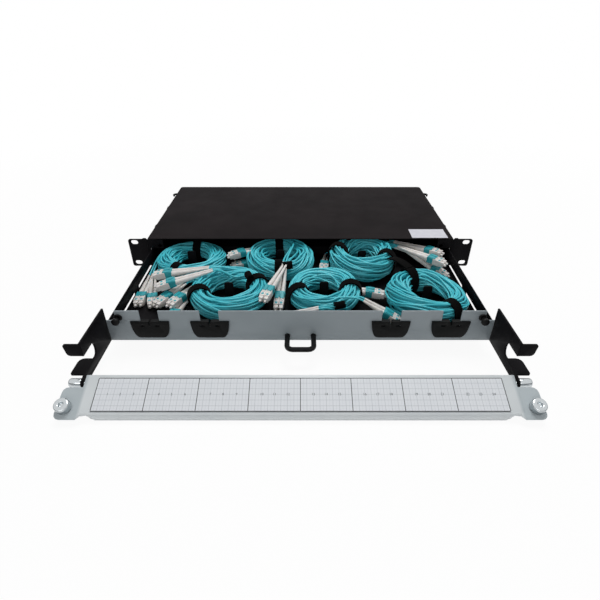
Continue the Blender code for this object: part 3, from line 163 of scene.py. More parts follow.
def bright_metal(name, colour, darker, rough):
    """Machined or plated metal with fine turning marks, a little darker in the marks."""
    finish, tree, shader, place = new_finish(name, {"Metallic": 1.0})
    fine = grain(tree, place, TURNING_MARK, 3.0, 0.6)
    tree.links.new(blend_colours(tree, ramp(tree, fine, 0.3, 0.7), colour, darker),
                   shader.inputs["Base Color"])
    tree.links.new(ramp(tree, fine, 0.3, 0.7, rough, rough + 0.08), shader.inputs["Roughness"])
    bumped(tree, shader, fine, 0.01)
    return finish


def paint_shade_on_ends(finish, start, end, colour):
    """Paints shade onto a finish towards its ends: its colour blends into a darker one, from one
    distance from the middle in millimetres to another."""
    tree = finish.node_tree
    base = tree.nodes["Principled BSDF"].inputs["Base Color"]
    place = add_node(tree, "ShaderNodeTexCoord").outputs["Object"]
    across = add_node(tree, "ShaderNodeSeparateXYZ", {0: place}).outputs[0]
    across = add_node(tree, "ShaderNodeMath", {0: across}, operation="ABSOLUTE").outputs[0]
    # How much painted shade there is: none at the first distance, all of it beyond the second
    share = ramp(tree, across, start * MM, end * MM)
    tree.links.new(blend_colours(tree, share, base.links[0].from_socket, colour), base)


# Black powder coat: the enclosure, the tray, the ears and the brackets.
BLACK_COAT = powder_coat("black_powder_coat", "0f0e10", "161517", 0.5, gloss=0.04)
# Warm black powder coat of the cover, a little browner than the rest.
COVER_COAT = powder_coat("cover_powder_coat", "1b1819", "231f20", 0.5, gloss=0.035)
# Blue-grey powder coat of the tray's front.
GREY_COAT = powder_coat("grey_powder_coat", "8d979c", "959ea3", 0.42, depth=0.03)
# Silver-grey powder coat of the label door, with painted shade that darkens its two ears.
SILVER_COAT = powder_coat("silver_powder_coat", "ced4d7", "d8dddf", 0.38, depth=0.02)
# Painted shade: the coat turns a darker blue-grey over the door's ears
paint_shade_on_ends(SILVER_COAT, *DOOR_EARS, "b4bdc1")
# Zinc plating of the hidden slide channels: pale grey with a dull shine.
ZINC = bright_metal("zinc_plated_steel", "aeb1b3", "a2a5a8", 0.38)
# Chrome plating of the hinge pins and magnets: a clear reflection, a little grey.
CHROME = bright_metal("bright_chrome", "caced0", "bfc5c8", 0.12)
# Oxide-blacked screws: darker and glossier than the coat round them.
BLACK_OXIDE = powder_coat("black_oxide_screw", "0d0d0e", "151516", 0.32, depth=0.01, gloss=0.3)
# Glass-filled nylon of the latches and the cable rings.
NYLON = moulded("black_nylon", "0c0c0d", "131314", 0.36, {"Specular IOR Level": 0.15})
# Moulded rubber of the grommets and bushings: dull, with a slight bloom.
RUBBER = moulded("black_rubber", "0d0e0e", "151616", 0.5, {"Specular IOR Level": 0.1})
# White PBT of the plugs and their boots, a little see-through at thin edges.
PLUG_WHITE = moulded("white_plug_plastic", "ece8e4", "ddd9d6", 0.35,
                     {"Subsurface Weight": 0.08, "Subsurface Radius": (0.002, 0.0015, 0.001)})
# Aqua plastic of the clips that join two plugs.
CLIP_AQUA = moulded("aqua_clip_plastic", "2fa9b3", "2699a4", 0.33)


def lead_jacket():
    """Extruded aqua jacket of a fibre lead: smooth and satin, with drawing marks too fine to
    show, so its bump is drawn as shallow waves a few millimetres long."""
    finish, tree, shader, place = new_finish("aqua_lead_jacket", {
        "IOR": 1.5, "Subsurface Weight": 0.05, "Subsurface Radius": (0.001, 0.0015, 0.0015)})
    tone = ramp(tree, grain(tree, place, 30, 2.0), 0.35, 0.65)
    tree.links.new(blend_colours(tree, tone, "3cc2d0", "57ceda"), shader.inputs["Base Color"])
    tree.links.new(ramp(tree, grain(tree, place, 8, 2.0), 0.3, 0.7, 0.33, 0.42),
                   shader.inputs["Roughness"])
    bumped(tree, shader, grain(tree, place, 2.5, 1.0), 0.05)
    return finish


def fuzzy_tape():
    """Hook-and-loop tape: black nylon whose loops stand up as a dull nap."""
    finish, tree, shader, place = new_finish("black_loop_tape", {
        "Sheen Weight": 0.02, "Sheen Roughness": 0.5, "Specular IOR Level": 0.03,
        "Roughness": 0.9})
    nap = grain(tree, place, 0.7, 3.0, 0.7)
    tree.links.new(blend_colours(tree, ramp(tree, nap, 0.35, 0.7), "040404", "0c0c0c"),
                   shader.inputs["Base Color"])
    bumped(tree, shader, nap, 0.35)
    return finish


JACKET = lead_jacket()
TAPE = fuzzy_tape()


# Mesh helpers: places in millimetres, finished meshes in metres

def finish_mesh(bm, name, body, finishes, stands_for=(), sharp=35.0):
    """Turns a bmesh in millimetres into a shaded piece that rides on a body."""
    bmesh.ops.transform(bm, matrix=Matrix.Scale(MM, 4), verts=bm.verts)
    mesh = bpy.data.meshes.new(name)
    bm.to_mesh(mesh)
    bm.free()
    for finish in finishes:
        mesh.materials.append(finish)
    mesh.polygons.foreach_set("use_smooth", [True] * len(mesh.polygons))
    mesh.set_sharp_from_angle(angle=math.radians(sharp))
    piece = bpy.data.objects.new(name, mesh)
    bpy.context.scene.collection.objects.link(piece)
    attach(piece, body)
    if stands_for:
        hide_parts(*stands_for)
    return piece


def station(place, along, up, wide=1.0, tall=1.0):
    """A place on a swept piece: the section's x goes sideways, its y goes up."""
    along = Vector(along).normalized()
    side = along.cross(Vector(up)).normalized()
    rise = side.cross(along)
    matrix = Matrix.Identity(4)
    for column, direction in enumerate((side * wide, rise * tall, along)):
        for row in range(3):
            matrix[row][column] = direction[row]
    for row in range(3):
        matrix[row][3] = place[row]
    return matrix


def sweep(bm, sides, stations, closed=False, turned=0.0):
    """Draws a section of radius 1 with so many sides through the stations. It ends in flat
    caps, or closes on itself."""
    first = bmesh.ops.create_circle(
        bm, segments=sides, radius=1.0,
        matrix=stations[0] @ Matrix.Rotation(turned, 4, "Z"))["verts"]
    edges = list({e for v in first for e in v.link_edges})
    opening = list(edges)
    for before, after in zip(stations, stations[1:]):
        grown = bmesh.ops.extrude_edge_only(bm, edges=edges)["geom"]
        verts = [g for g in grown if isinstance(g, bmesh.types.BMVert)]
        edges = [g for g in grown if isinstance(g, bmesh.types.BMEdge)
                 and all(v in verts for v in g.verts)]
        bmesh.ops.transform(bm, matrix=after @ before.inverted(), verts=verts)
    if closed:
        bmesh.ops.bridge_loops(bm, edges=opening + edges)
    else:
        for ring in (opening, edges):
            bmesh.ops.holes_fill(bm, edges=ring, sides=0)
    bmesh.ops.recalc_face_normals(bm, faces=bm.faces)


def add_block(bm, low, high, round_off, segments=2):
    """A block between two corners with its edges rounded off."""
    made = bmesh.ops.create_cube(bm, size=1.0)["verts"]
    size = [h - l for l, h in zip(low, high)]
    middle = [(h + l) / 2 for l, h in zip(low, high)]
    bmesh.ops.scale(bm, vec=size, verts=made)
    bmesh.ops.translate(bm, vec=middle, verts=made)
    edges = list({e for v in made for e in v.link_edges})
    bmesh.ops.bevel(bm, geom=edges, offset=round_off, segments=segments, profile=0.5,
                    affect="EDGES", material=-1)


# The six coils

# Middle, outside diameter and height in mm, number of leads, how far the section turns on its
# way round and where that starts (radians), and where the leads spread out loosely (degrees)
# and by what share.
Coil = namedtuple("Coil", "x y diameter height leads turn phase loose spread")
COILS = {
    "rear_left": Coil(-150.3, -19.8, 95.4, 25.0, 6, 0.7, 2.1, 170, 0.55),
    "rear_centre": Coil(-27.6, -16.8, 95.2, 29.0, 8, 0.6, 0.4, 175, 0.45),
    "rear_right": Coil(85.1, -19.0, 92.0, 34.0, 10, 0.7, 4.0, 60, 0.3),
    "front_left": Coil(-87.6, -103.0, 98.0, 28.6, 8, 0.6, 5.2, 90, 0.15),
    "front_centre": Coil(29.1, -102.0, 90.2, 29.0, 6, 0.6, 1.2, 85, 0.2),
    "front_right": Coil(153.8, -112.0, 99.6, 33.0, 2, 0.7, 2.8, 185, 0.6),
}
# Height of the coils' undersides, half the width of a coil's section, and a lead's diameter
COIL_BOTTOM = -16.5
HALF_WIDE = 12.5
LEAD = 2.4
# The front right coil where it is pressed down beside the enclosure
PRESSED_HEIGHT = 22.5
# Rings of turns in a coil's section, the middle one among them, and points on each turn
RINGS = 5
TURN_POINTS = 40
# A lead's last turn in degrees, and the part of a turn in which it moves to its next place
LAST_TURN = 325
CHANGE_OVER = 0.2


def coil_share(name, angle):
    """How much of its height a coil keeps at an angle: the front right one is pressed flatter
    beside the enclosure's front return."""
    if name != "front_right":
        return 1.0
    pressed = 1 - PRESSED_HEIGHT / COILS[name].height
    return 1 - pressed * (0.5 + 0.5 * math.cos(angle)) ** 2


def section_slots(leads):
    """The places of the turns in a coil's section, each a ring and an angle, shared out in
    wedges: one list for each lead, from the middle outwards."""
    wedges = [[] for _ in range(leads)]
    for ring in range(RINGS):
        count = max(1, 6 * ring)
        row = [[] for _ in range(leads)]
        for k in range(count):
            angle = 2 * math.pi * (k + 0.5 * (ring == 0)) / count
            wedge = int(leads * k / count) if ring else 0
            row[wedge].append((ring, angle))
        for wedge, slots in enumerate(row):
            slots.sort(key=lambda slot: slot[1], reverse=bool(ring % 2))
            wedges[wedge] += slots
    return wedges


def coil_place(name, angle, slot, key):
    """A place on a turn. The whole section turns to and fro on its way round the coil, so the
    leads run slantwise over it, and each lead wanders a little by itself. Where the coil is
    loose the turns spread out, most of them towards the hole."""
    coil = COILS[name]
    radius, bearing = slot
    bearing += coil.turn * math.sin(angle + coil.phase)
    bearing += 0.15 * math.sin(2 * (angle + coil.phase))
    seed = Vector((math.cos(angle) * 0.9, math.sin(angle) * 0.9,
                   key * 3.7 + radius * 5.0 + slot[1] * 2.5))
    bearing += 0.6 * noise.noise(seed + Vector((3.0, 8.0, 1.0)))
    radius += 0.22 * noise.noise(seed + Vector((9.0, 4.0, 0.0))) - 0.05
    wide, tall = HALF_WIDE - LEAD / 2, coil.height / 2 - LEAD / 2
    out = wide * radius * math.cos(bearing)
    up = tall * radius * math.sin(bearing)
    share = max(0.0, math.cos(angle - math.radians(coil.loose))) ** 2 * coil.spread
    out *= 1 + share * (0.9 if out < 0 else 0.08)
    out += share * 4.0 * noise.noise(seed * 1.2)
    up -= share * 3.0 * abs(noise.noise(seed * 1.3))
    ring = coil.diameter / 2 - HALF_WIDE + out
    rise = (coil.height / 2 + up) * coil_share(name, angle)
    return Vector((coil.x + ring * math.cos(angle), coil.y + ring * math.sin(angle),
                   COIL_BOTTOM + rise))


def smooth_step(value):
    """A value held between 0 and 1 that starts and ends gently."""
    value = min(1.0, max(0.0, value))
    return value * value * (3 - 2 * value)


def coil_run(name, wedge, leave, sense, key):
    """The turns of one lead: in from the middle of the section, and out by its outermost
    slot at the angle where the lead leaves."""
    slots = [(ring / (RINGS - 1), angle)
             for ring, angle in section_slots(COILS[name].leads)[wedge]]
    shift = leave - sense * math.radians(LAST_TURN)
    total = 2 * math.pi * (len(slots) - 1) + math.radians(LAST_TURN)
    steps = len(slots) * TURN_POINTS
    points = []
    for i in range(steps + 1):
        travelled = total * i / steps
        angle = leave - sense * (total - travelled)
        turns = sense * (angle - shift) / (2 * math.pi) + len(slots) - 1
        level = min(len(slots) - 1, int(turns + 1e-9))
        share = smooth_step((turns - level) / CHANGE_OVER)
        (r0, a0), (r1, a1) = slots[max(0, level - 1)], slots[level]
        turned = (a1 - a0 + math.pi) % (2 * math.pi) - math.pi if r0 and r1 else 0.0
        slot = (r0 + (r1 - r0) * share, (a0 + turned * share) if r0 else a1)
        points.append(coil_place(name, angle, slot, key))
    return points


# Plugs: the mouth's place, heading, dip, and length of the boots, in mm and degrees
PLUGS = {
    "1": ((-189.0, -77.5, 1.5), 185.5, 6.4, 47),
    "2": ((-178.5, -102.0, -1.4), 196.0, 11.0, 47),
    "3": ((-199.5, -116.3, -18.7), 273.4, 0.0, 47),
    "4": ((-180.5, -118.5, -18.7), 284.4, 0.0, 47),
    "5": ((200.0, -46.0, -19.4), 322.0, 17.0, 47),
    "6": ((203.5, -16.3, -12.0), 343.0, 10.0, 47),
    "7": ((117.1, -152.0, -18.8), 338.0, 24.5, 26),
    "8": ((-27.0, -124.0, -19.4), 264.0, 25.0, 47),
    "9": ((-155.0, -154.0, -18.7), 257.0, 0.0, 47),
    "10": ((-44.5, -135.5, 1.0), 250.5, 8.0, 47),
    "11": ((-176.0, -122.0, -15.0), 236.0, 8.0, 24),
    "12": ((-158.0, -128.0, -12.0), 240.0, 4.0, 24),
    "13": ((-102.0, -16.0, -3.5), 203.0, 4.0, 25),
    "14": ((-99.0, -17.0, -18.2), 195.0, 0.0, 25),
    "15": ((107.5, -100.0, -13.0), 350.0, 4.0, 24),
    "16": ((-48.6, -153.0, -18.2), 180.0, 17.5, 47),
    "17": ((31.0, -37.0, -15.0), 262.0, -4.0, 30),
    "18": ((195.0, -46.0, 0.0), 320.0, 3.0, 47),
    "19": ((198.5, -17.0, 0.5), 325.0, -1.0, 47),
    "20": ((128.0, -53.0, -17.5), 195.0, 0.0, 24),
}
# Lengths of the body and the clip, half the distance between the two housings, height of the
# boots' middle line, and how far a boot of full length leans inwards
PLUG_BODY, PLUG_CLIP = 18.0, 9.0
HALF_PITCH = 3.15
BOOT_HEIGHT = 4.3
BOOT_LEAN = 1.2
FULL_BOOT = 47


def plug_matrix(key):
    """Where a plug lies: its own y axis points out of its mouth."""
    place, heading, dip, _ = PLUGS[key]
    turn = Matrix.Rotation(math.radians(heading - 90), 4, "Z") @ Matrix.Rotation(
        math.radians(-dip), 4, "X")
    return Matrix.Translation(place) @ turn


def make_plug(key):
    """A duplex plug: two white housings with their noses and latch levers, an aqua clip that
    holds them together, and two long tapered boots, ribbed near the clip."""
    length = PLUGS[key][3]
    back = PLUG_BODY + PLUG_CLIP
    white, aqua = bmesh.new(), bmesh.new()
    for side in (-1, 1):
        x = HALF_PITCH * side
        bmesh.ops.create_cone(white, cap_ends=True, segments=16, radius1=1.75, radius2=1.4,
                              depth=3.4, matrix=Matrix.Translation((x, -1.7, 4.0))
                              @ Matrix.Rotation(math.radians(-90), 4, "X"))
        add_block(white, (x - 2.6, -8.0, 1.2), (x + 2.6, -3.0, 7.6), 0.5, 2)
        add_block(white, (x - 3.05, -PLUG_BODY - 0.6, 0.2), (x + 3.05, -7.4, 8.5), 0.6, 2)
        add_block(white, (x - 1.5, -17.0, 8.2), (x + 1.5, -13.4, 9.2), 0.35, 1)
        add_block(aqua, (x - 1.5, -11.6, 8.1), (x + 1.5, -8.6, 8.75), 0.25, 1)
        boot = []
        for k in range(17):
            share = k / 16
            radius = 3.0 - 1.6 * share ** 0.75
            if k % 2 and 1 < k < 10:
                radius += 0.22
            boot.append(station((x - side * BOOT_LEAN * share * length / FULL_BOOT,
                                 -back + 0.6 - (length + 0.6) * share, BOOT_HEIGHT),
                                (0, -1, 0), (0, 0, 1), radius, radius * (1.4 - 0.4 * share ** 0.6)))
        sweep(white, 14, boot)
    add_block(aqua, (-6.1, -back, 0.3), (6.1, -PLUG_BODY, 9.0), 0.7, 2)
    add_block(aqua, (-5.4, -back + 2.0, 8.6), (-0.9, -PLUG_BODY + 2.2, 9.8), 0.4, 1)
    add_block(aqua, (0.9, -back + 2.0, 8.6), (5.4, -PLUG_BODY + 2.2, 9.8), 0.4, 1)
    matrix = plug_matrix(key)
    stands_for = ["lead_plug_" + key] if "lead_plug_" + key in NODES else ()
    pieces = []
    for bm, part, finish in ((white, "housings", PLUG_WHITE), (aqua, "clip", CLIP_AQUA)):
        bmesh.ops.transform(bm, matrix=matrix, verts=bm.verts)
        pieces.append(finish_mesh(bm, f"plug_{key}_{part}", "tray", [finish],
                                  stands_for if part == "housings" else ()))
    return pieces


def bezier(start, first, second, end, count):
    """Points of a curve between two places, without the first."""
    points = []
    for i in range(1, count + 1):
        t = i / count
        points.append(start * (1 - t) ** 3 + first * 3 * t * (1 - t) ** 2
                      + second * 3 * t * t * (1 - t) + end * t ** 3)
    return points


def lay_lead(coil, plug, side, wedge, leave, sense, pull):
    """One lead: from the middle of its coil's section, round the coil and into its boot."""
    key = wedge + 10 * list(COILS).index(coil)
    points = coil_run(coil, wedge, math.radians(leave), sense, key)
    matrix = plug_matrix(plug)
    length = PLUGS[plug][3]
    back = PLUG_BODY + PLUG_CLIP
    tip = side * (HALF_PITCH - BOOT_LEAN * length / FULL_BOOT)
    boot_end = matrix @ Vector((tip, -back - length, BOOT_HEIGHT))
    inside = matrix @ Vector((side * HALF_PITCH, -back, BOOT_HEIGHT))
    heading = (inside - boot_end).normalized()
    start = points[-1]
    run = (points[-1] - points[-2]).normalized()
    gap = (boot_end - start).length
    points += bezier(start, start + run * gap * pull, boot_end - heading * gap * pull,
                     boot_end, 24)
    for i in range(1, 9):
        points.append(boot_end.lerp(inside, i / 8))
    name = f"lead_{plug}_{'left' if side < 0 else 'right'}"
    curve = bpy.data.curves.new(name, "CURVE")
    curve.dimensions = "3D"
    curve.bevel_depth = LEAD / 2 * MM
    curve.bevel_resolution = 3
    curve.use_fill_caps = True
    spline = curve.splines.new("POLY")
    spline.points.add(len(points) - 1)
    for place, point in zip(points, spline.points):
        point.co = (*(place * MM), 1.0)
    curve.materials.append(JACKET)
    lead = bpy.data.objects.new(name, curve)
    bpy.context.scene.collection.objects.link(lead)
    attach(lead, "tray")
    length = sum((b - a).length for a, b in zip(points, points[1:])) * MM
    return lead


# Coil, plug, first wedge, angle where the pair leaves, sense, and pull of the curve.
PAIRS = (
    ("rear_left", "3", 0, 150, 1, 0.4),
    ("rear_left", "4", 2, 162, 1, 0.4),
    ("rear_left", "9", 4, 335, -1, 0.4),
    ("rear_centre", "8", 0, 72, -1, 0.2),
    ("rear_centre", "10", 2, 64, -1, 0.36),
    ("rear_centre", "13", 4, 90, 1, 0.35),
    ("rear_centre", "14", 6, 110, 1, 0.35),
    ("rear_right", "5", 0, 84, -1, 0.38),
    ("rear_right", "6", 2, 92, -1, 0.38),
    ("rear_right", "17", 4, 100, 1, 0.4),
    ("rear_right", "18", 6, 76, -1, 0.36),
    ("rear_right", "19", 8, 86, -1, 0.36),
    ("front_left", "1", 0, 74, 1, 0.38),
    ("front_left", "2", 2, 66, 1, 0.38),
    ("front_left", "11", 4, 100, 1, 0.35),
    ("front_left", "12", 6, 92, 1, 0.35),
    ("front_centre", "7", 0, 250, 1, 0.28),
    ("front_centre", "15", 2, 300, 1, 0.35),
    ("front_centre", "16", 4, 318, -1, 0.36),
    ("front_right", "20", 0, 20, 1, 0.4),
)

leads = {name: [] for name in COILS}
for coil, plug, wedge, leave, sense, pull in PAIRS:
    pieces = make_plug(plug)
    for side, step in ((-1, 0), (1, 1)):
        leads[coil].append(lay_lead(coil, plug, side, wedge + step, leave, sense, pull))
for name, made in leads.items():
    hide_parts("lead_coil_" + name)

# Straps: coil, direction from the coil's middle in degrees, width, whether it stands for the
# coil's strap node, and its tail: where it starts on the section, its first pitch, its length and
# how far it curls, in degrees, mm and turns
STRAPS = (
    ("rear_left", 86, 11.0, True, None),
    ("rear_left", 249, 10.0, False, None),
    ("rear_centre", -90, 12.0, True, None),
    ("rear_centre", 96, 11.0, False, None),
    ("rear_right", -22, 11.0, True, None),
    ("rear_right", 166, 11.0, False, None),
    ("front_left", -162, 11.0, True, None),
    ("front_left", 22, 11.0, False, None),
    ("front_centre", -2, 11.0, True, None),
    ("front_centre", 198, 11.0, False, None),
    ("front_right", 115, 12.0, True, (84, 4, 46, 0.1)),
    ("front_right", 301, 12.0, False, None),
)
# Rolled-up strap ends: coil, direction and place on the section in degrees, width and length
KNOBS = (
    ("rear_centre", -77, 62, 12.0, 36),
    ("front_left", 24, 136, 12.0, 30),
    ("front_centre", 289, 42, 12.0, 28),
)


# The corners of a square section lie this much further out than its sides
CORNER = 1.41


def section_frame(name, direction):
    """Middle, outward direction and half sizes of a coil's section at a direction."""
    coil = COILS[name]
    angle = math.radians(direction)
    height = coil.height * coil_share(name, angle)
    outward = Vector((math.cos(angle), math.sin(angle), 0))
    centre = Vector((coil.x, coil.y, COIL_BOTTOM + height / 2))
    centre += outward * (coil.diameter / 2 - HALF_WIDE)
    return centre, outward, HALF_WIDE + 1.1, height / 2 + 0.9


def tape_run(bm, place, outward, bearing, width, length, curl):
    """A stretch of tape that leaves a place at a pitch and rolls up as it goes."""
    across = outward.cross(Vector((0, 0, 1)))
    stations = []
    steps = max(12, int(length / 1.8))
    for k in range(steps + 1):
        along = outward * math.cos(bearing) + Vector((0, 0, math.sin(bearing)))
        stations.append(station(place, along, across, 0.8 * CORNER, width / 2 * CORNER))
        place = place + along * length / steps
        bearing -= curl * 2 * math.pi / steps * (0.5 + k / steps)
    sweep(bm, 4, stations, turned=math.pi / 4)


def make_strap(name, direction, width, stands_for, tail, index):
    """A hook-and-loop strap drawn round the coil's section. Its tail, where it has one, runs
    on over the leads."""
    centre, outward, wide, tall = section_frame(name, direction)
    across = outward.cross(Vector((0, 0, 1)))
    bm = bmesh.new()
    stations = []
    for k in range(40):
        t = 2 * math.pi * k / 40
        place = centre + outward * wide * math.cos(t) + Vector((0, 0, tall * math.sin(t)))
        along = outward * -wide * math.sin(t) + Vector((0, 0, tall * math.cos(t)))
        stations.append(station(place, along, across, 0.85 * CORNER, width / 2 * CORNER))
    sweep(bm, 4, stations, closed=True, turned=math.pi / 4)
    around = 2 * math.pi * math.sqrt((wide ** 2 + tall ** 2) / 2)
    if tail:
        start, pitch, length, curl = tail
        t = math.radians(start)
        place = centre + outward * (wide + 0.9) * math.cos(t) + Vector(
            (0, 0, (tall + 0.9) * math.sin(t)))
        tape_run(bm, place, outward, math.radians(pitch), width * 0.92, length, curl)
        around += length
    node = ["coil_strap_" + name] if stands_for else ()
    strap = finish_mesh(bm, f"strap_{name}_{index}", "tray", [TAPE], node)


def make_knob(name, direction, start, width, length, index):
    """The loose end of a strap, rolled up on itself beside the coil."""
    centre, outward, wide, tall = section_frame(name, direction)
    t = math.radians(start)
    place = centre + outward * (wide + 0.4) * math.cos(t) + Vector(
        (0, 0, (tall + 0.4) * math.sin(t)))
    bm = bmesh.new()
    tape_run(bm, place, outward, t + 0.2, width, length, 1.55)
    knob = finish_mesh(bm, f"strap_end_{name}_{index}", "tray", [TAPE])


for index, (name, direction, width, stands_for, tail) in enumerate(STRAPS):
    make_strap(name, direction, width, stands_for, tail, index)
for index, (name, direction, start, width, length) in enumerate(KNOBS):
    make_knob(name, direction, start, width, length, index)

# Printed card of the door: the length of its print in millimetres, and its cells
PRINT_LENGTH = 395.0
CELLS = 8

def printed_card():
    """Label paper printed with eight cells: a dark outline, and a pale grey grid inside."""
    low, high = [Vector(corner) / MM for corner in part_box("label_card")]
    slope = Vector((0, high.y - low.y, high.z - low.z))
    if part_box("label_card")[0][2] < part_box("hinge_pin_left")[0][2] - 0.02:
        slope.z = -slope.z
    middle = (low + high) / 2
    height = slope.length
    slope.normalize()
    finish, tree, shader, place = new_finish("printed_label_paper", {
        "Roughness": 0.55, "Specular IOR Level": 0.3})

    def maths(kind, first, second=0.0, third=0.0):
        return add_node(tree, "ShaderNodeMath", {0: first, 1: second, 2: third},
                        operation=kind).outputs[0]

    across = add_node(tree, "ShaderNodeVectorMath", {0: place, 1: (1000.0, 0, 0)},
                      operation="DOT_PRODUCT").outputs[1]
    along = add_node(tree, "ShaderNodeVectorMath", {0: place, 1: slope * 1000.0},
                     operation="DOT_PRODUCT").outputs[1]
    along = maths("SUBTRACT", along, slope.dot(middle))
    pitch = PRINT_LENGTH / CELLS
    edge = maths("PINGPONG", across, pitch / 2)
    rim = maths("SUBTRACT", height / 2, maths("ABSOLUTE", along))
    ends = maths("SUBTRACT", PRINT_LENGTH / 2 - 0.4, maths("ABSOLUTE", across))
    nearest = maths("MINIMUM", maths("MINIMUM", edge, ends), maths("SUBTRACT", rim, 0.5))
    outline = maths("LESS_THAN", nearest, 0.36)
    columns = maths("LESS_THAN", maths("PINGPONG", across, pitch / 16), 0.17)
    narrow = maths("LESS_THAN", maths("PINGPONG", across, pitch / 32), 0.12)
    rows = maths("LESS_THAN", maths("PINGPONG", along, height / 12), 0.17)
    grid = maths("MAXIMUM", maths("MAXIMUM", columns, rows), maths("MULTIPLY", narrow, 0.45))
    tone = grain(tree, place, 14, 3.0)
    shade = blend_colours(tree, tone, "dde1e6", "e5e8ec")
    shade = blend_colours(tree, maths("MULTIPLY", grid, 0.6), shade, "999fa6")
    shade = blend_colours(tree, maths("MULTIPLY", outline, 0.95), shade, "24272a")
    tree.links.new(shade, shader.inputs["Base Color"])
    bumped(tree, shader, grain(tree, place, 0.5, 2.0), 0.01)
    return finish, middle, slope


CARD_PAPER, CARD_MIDDLE, CARD_SLOPE = printed_card()
# Printing ink of the numbers: matt grey, even.
CARD_INK = moulded("grey_printing_ink", "565b61", "62676c", 0.6)


def print_numbers():
    """The cells' plain running numbers, three in each."""
    bm = bmesh.new()
    up = Vector((1, 0, 0)).cross(CARD_SLOPE)
    turn = Matrix((Vector((1, 0, 0)), CARD_SLOPE, up)).transposed().to_4x4()
    pitch = PRINT_LENGTH / CELLS
    for cell in range(CELLS):
        for k, share in enumerate((0.25, 0.5, 0.76)):
            text = bpy.data.curves.new("number", "FONT")
            text.body = str(3 * cell + k + 1)
            text.size = 3.6
            text.align_x = text.align_y = "CENTER"
            text.resolution_u = 2
            holder = bpy.data.objects.new("number", text)
            mesh = bpy.data.meshes.new_from_object(holder)
            x = pitch * (cell + share) - PRINT_LENGTH / 2
            mesh.transform(Matrix.Translation(
                Vector((x, CARD_MIDDLE.y, CARD_MIDDLE.z)) + up * 0.42) @ turn)
            bm.from_mesh(mesh)
            bpy.data.objects.remove(holder)
            bpy.data.meshes.remove(mesh)
            bpy.data.curves.remove(text)
    finish_mesh(bm, "card_numbers", "door", [CARD_INK])


def make_cover_label():
    """A blank paper label stuck on the cover near its front edge."""
    bm = bmesh.new()
    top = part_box("top_cover")[1][2] / MM
    add_block(bm, (156.5, 0.0, top - 0.02), (206.7, 28.5, top + 0.12), 0.04, 1)
    finish_mesh(bm, "cover_label", "enclosure", [LABEL_PAPER])


# Coated paper of the cover's label: smooth, with a faint shine.
LABEL_PAPER = moulded("bare_label_paper", "d3d3dc", "dcdce3", 0.45, {"Specular IOR Level": 0.3})
print_numbers()
make_cover_label()

# Finishes of the CAD nodes, by the record's material slots

SLOT_FINISHES = {
    "black_steel": BLACK_COAT, "black_screw": BLACK_OXIDE, "black_nylon": NYLON,
    "black_rubber": RUBBER, "zinc_steel": ZINC, "grey_paint": GREY_COAT,
    "satin_aluminium": SILVER_COAT, "chrome": CHROME, "label_card": CARD_PAPER,
    "fibre_jacket": JACKET, "hook_and_loop": TAPE, "plug_plastic": PLUG_WHITE,
}
# The cover has the enclosure's slot, and a warmer coat of its own.
OWN_FINISHES = {"top_cover": COVER_COAT}
# Rounding of the pieces' edges in millimetres: folded and punched sheet, then turned and moulded
EDGES = {
    "base_chassis": 0.25, "top_cover": 0.3, "rack_ear": 0.3, "tray_pan": 0.25,
    "front_panel": 0.3, "side_bracket": 0.35, "door_plate": 0.3, "slide_channel": 0.2,
    "tie_post": 0.25, "ear_screw": 0.2, "hinge_pin": 0.3, "door_magnet": 0.5,
    "latch_socket": 0.35, "latch_plunger": 0.4, "edge_grommet": 0.5, "cable_bushing": 0.4,
    "cable_ring": 0.0, "pull_handle": 0.0,
}


def soften(name, width):
    """Replaces a rigid node by a copy with its doubles merged and sharp edges rounded off."""
    node = NODES[name]
    bm = bmesh.new()
    bm.from_mesh(node.data)
    bmesh.ops.remove_doubles(bm, verts=bm.verts, dist=0.000002)
    bmesh.ops.dissolve_limit(bm, angle_limit=math.radians(1), verts=bm.verts, edges=bm.edges)
    if width:
        sharp = [e for e in bm.edges if len(e.link_faces) == 2
                 and e.calc_face_angle(0) > math.radians(32)]
        bmesh.ops.bevel(bm, geom=sharp, offset=width * MM, segments=2, profile=0.5,
                        affect="EDGES", clamp_overlap=True, material=-1)
    bmesh.ops.scale(bm, vec=(1000, 1000, 1000), verts=bm.verts)
    finishes = [slot.material for slot in node.material_slots]
    finish_mesh(bm, name + "_finished", node["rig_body"], finishes, [name],
                sharp=32)


for name, node in NODES.items():
    for slot in node.material_slots:
        for key, finish in SLOT_FINISHES.items():
            if slot.material and slot.material.name.startswith(key):
                slot.material = finish
                break
        if name in OWN_FINISHES:
            slot.material = OWN_FINISHES[name]
for name in NODES:
    for family, width in EDGES.items():
        if name.startswith(family):
            soften(name, width)

# Floor, lamps and camera


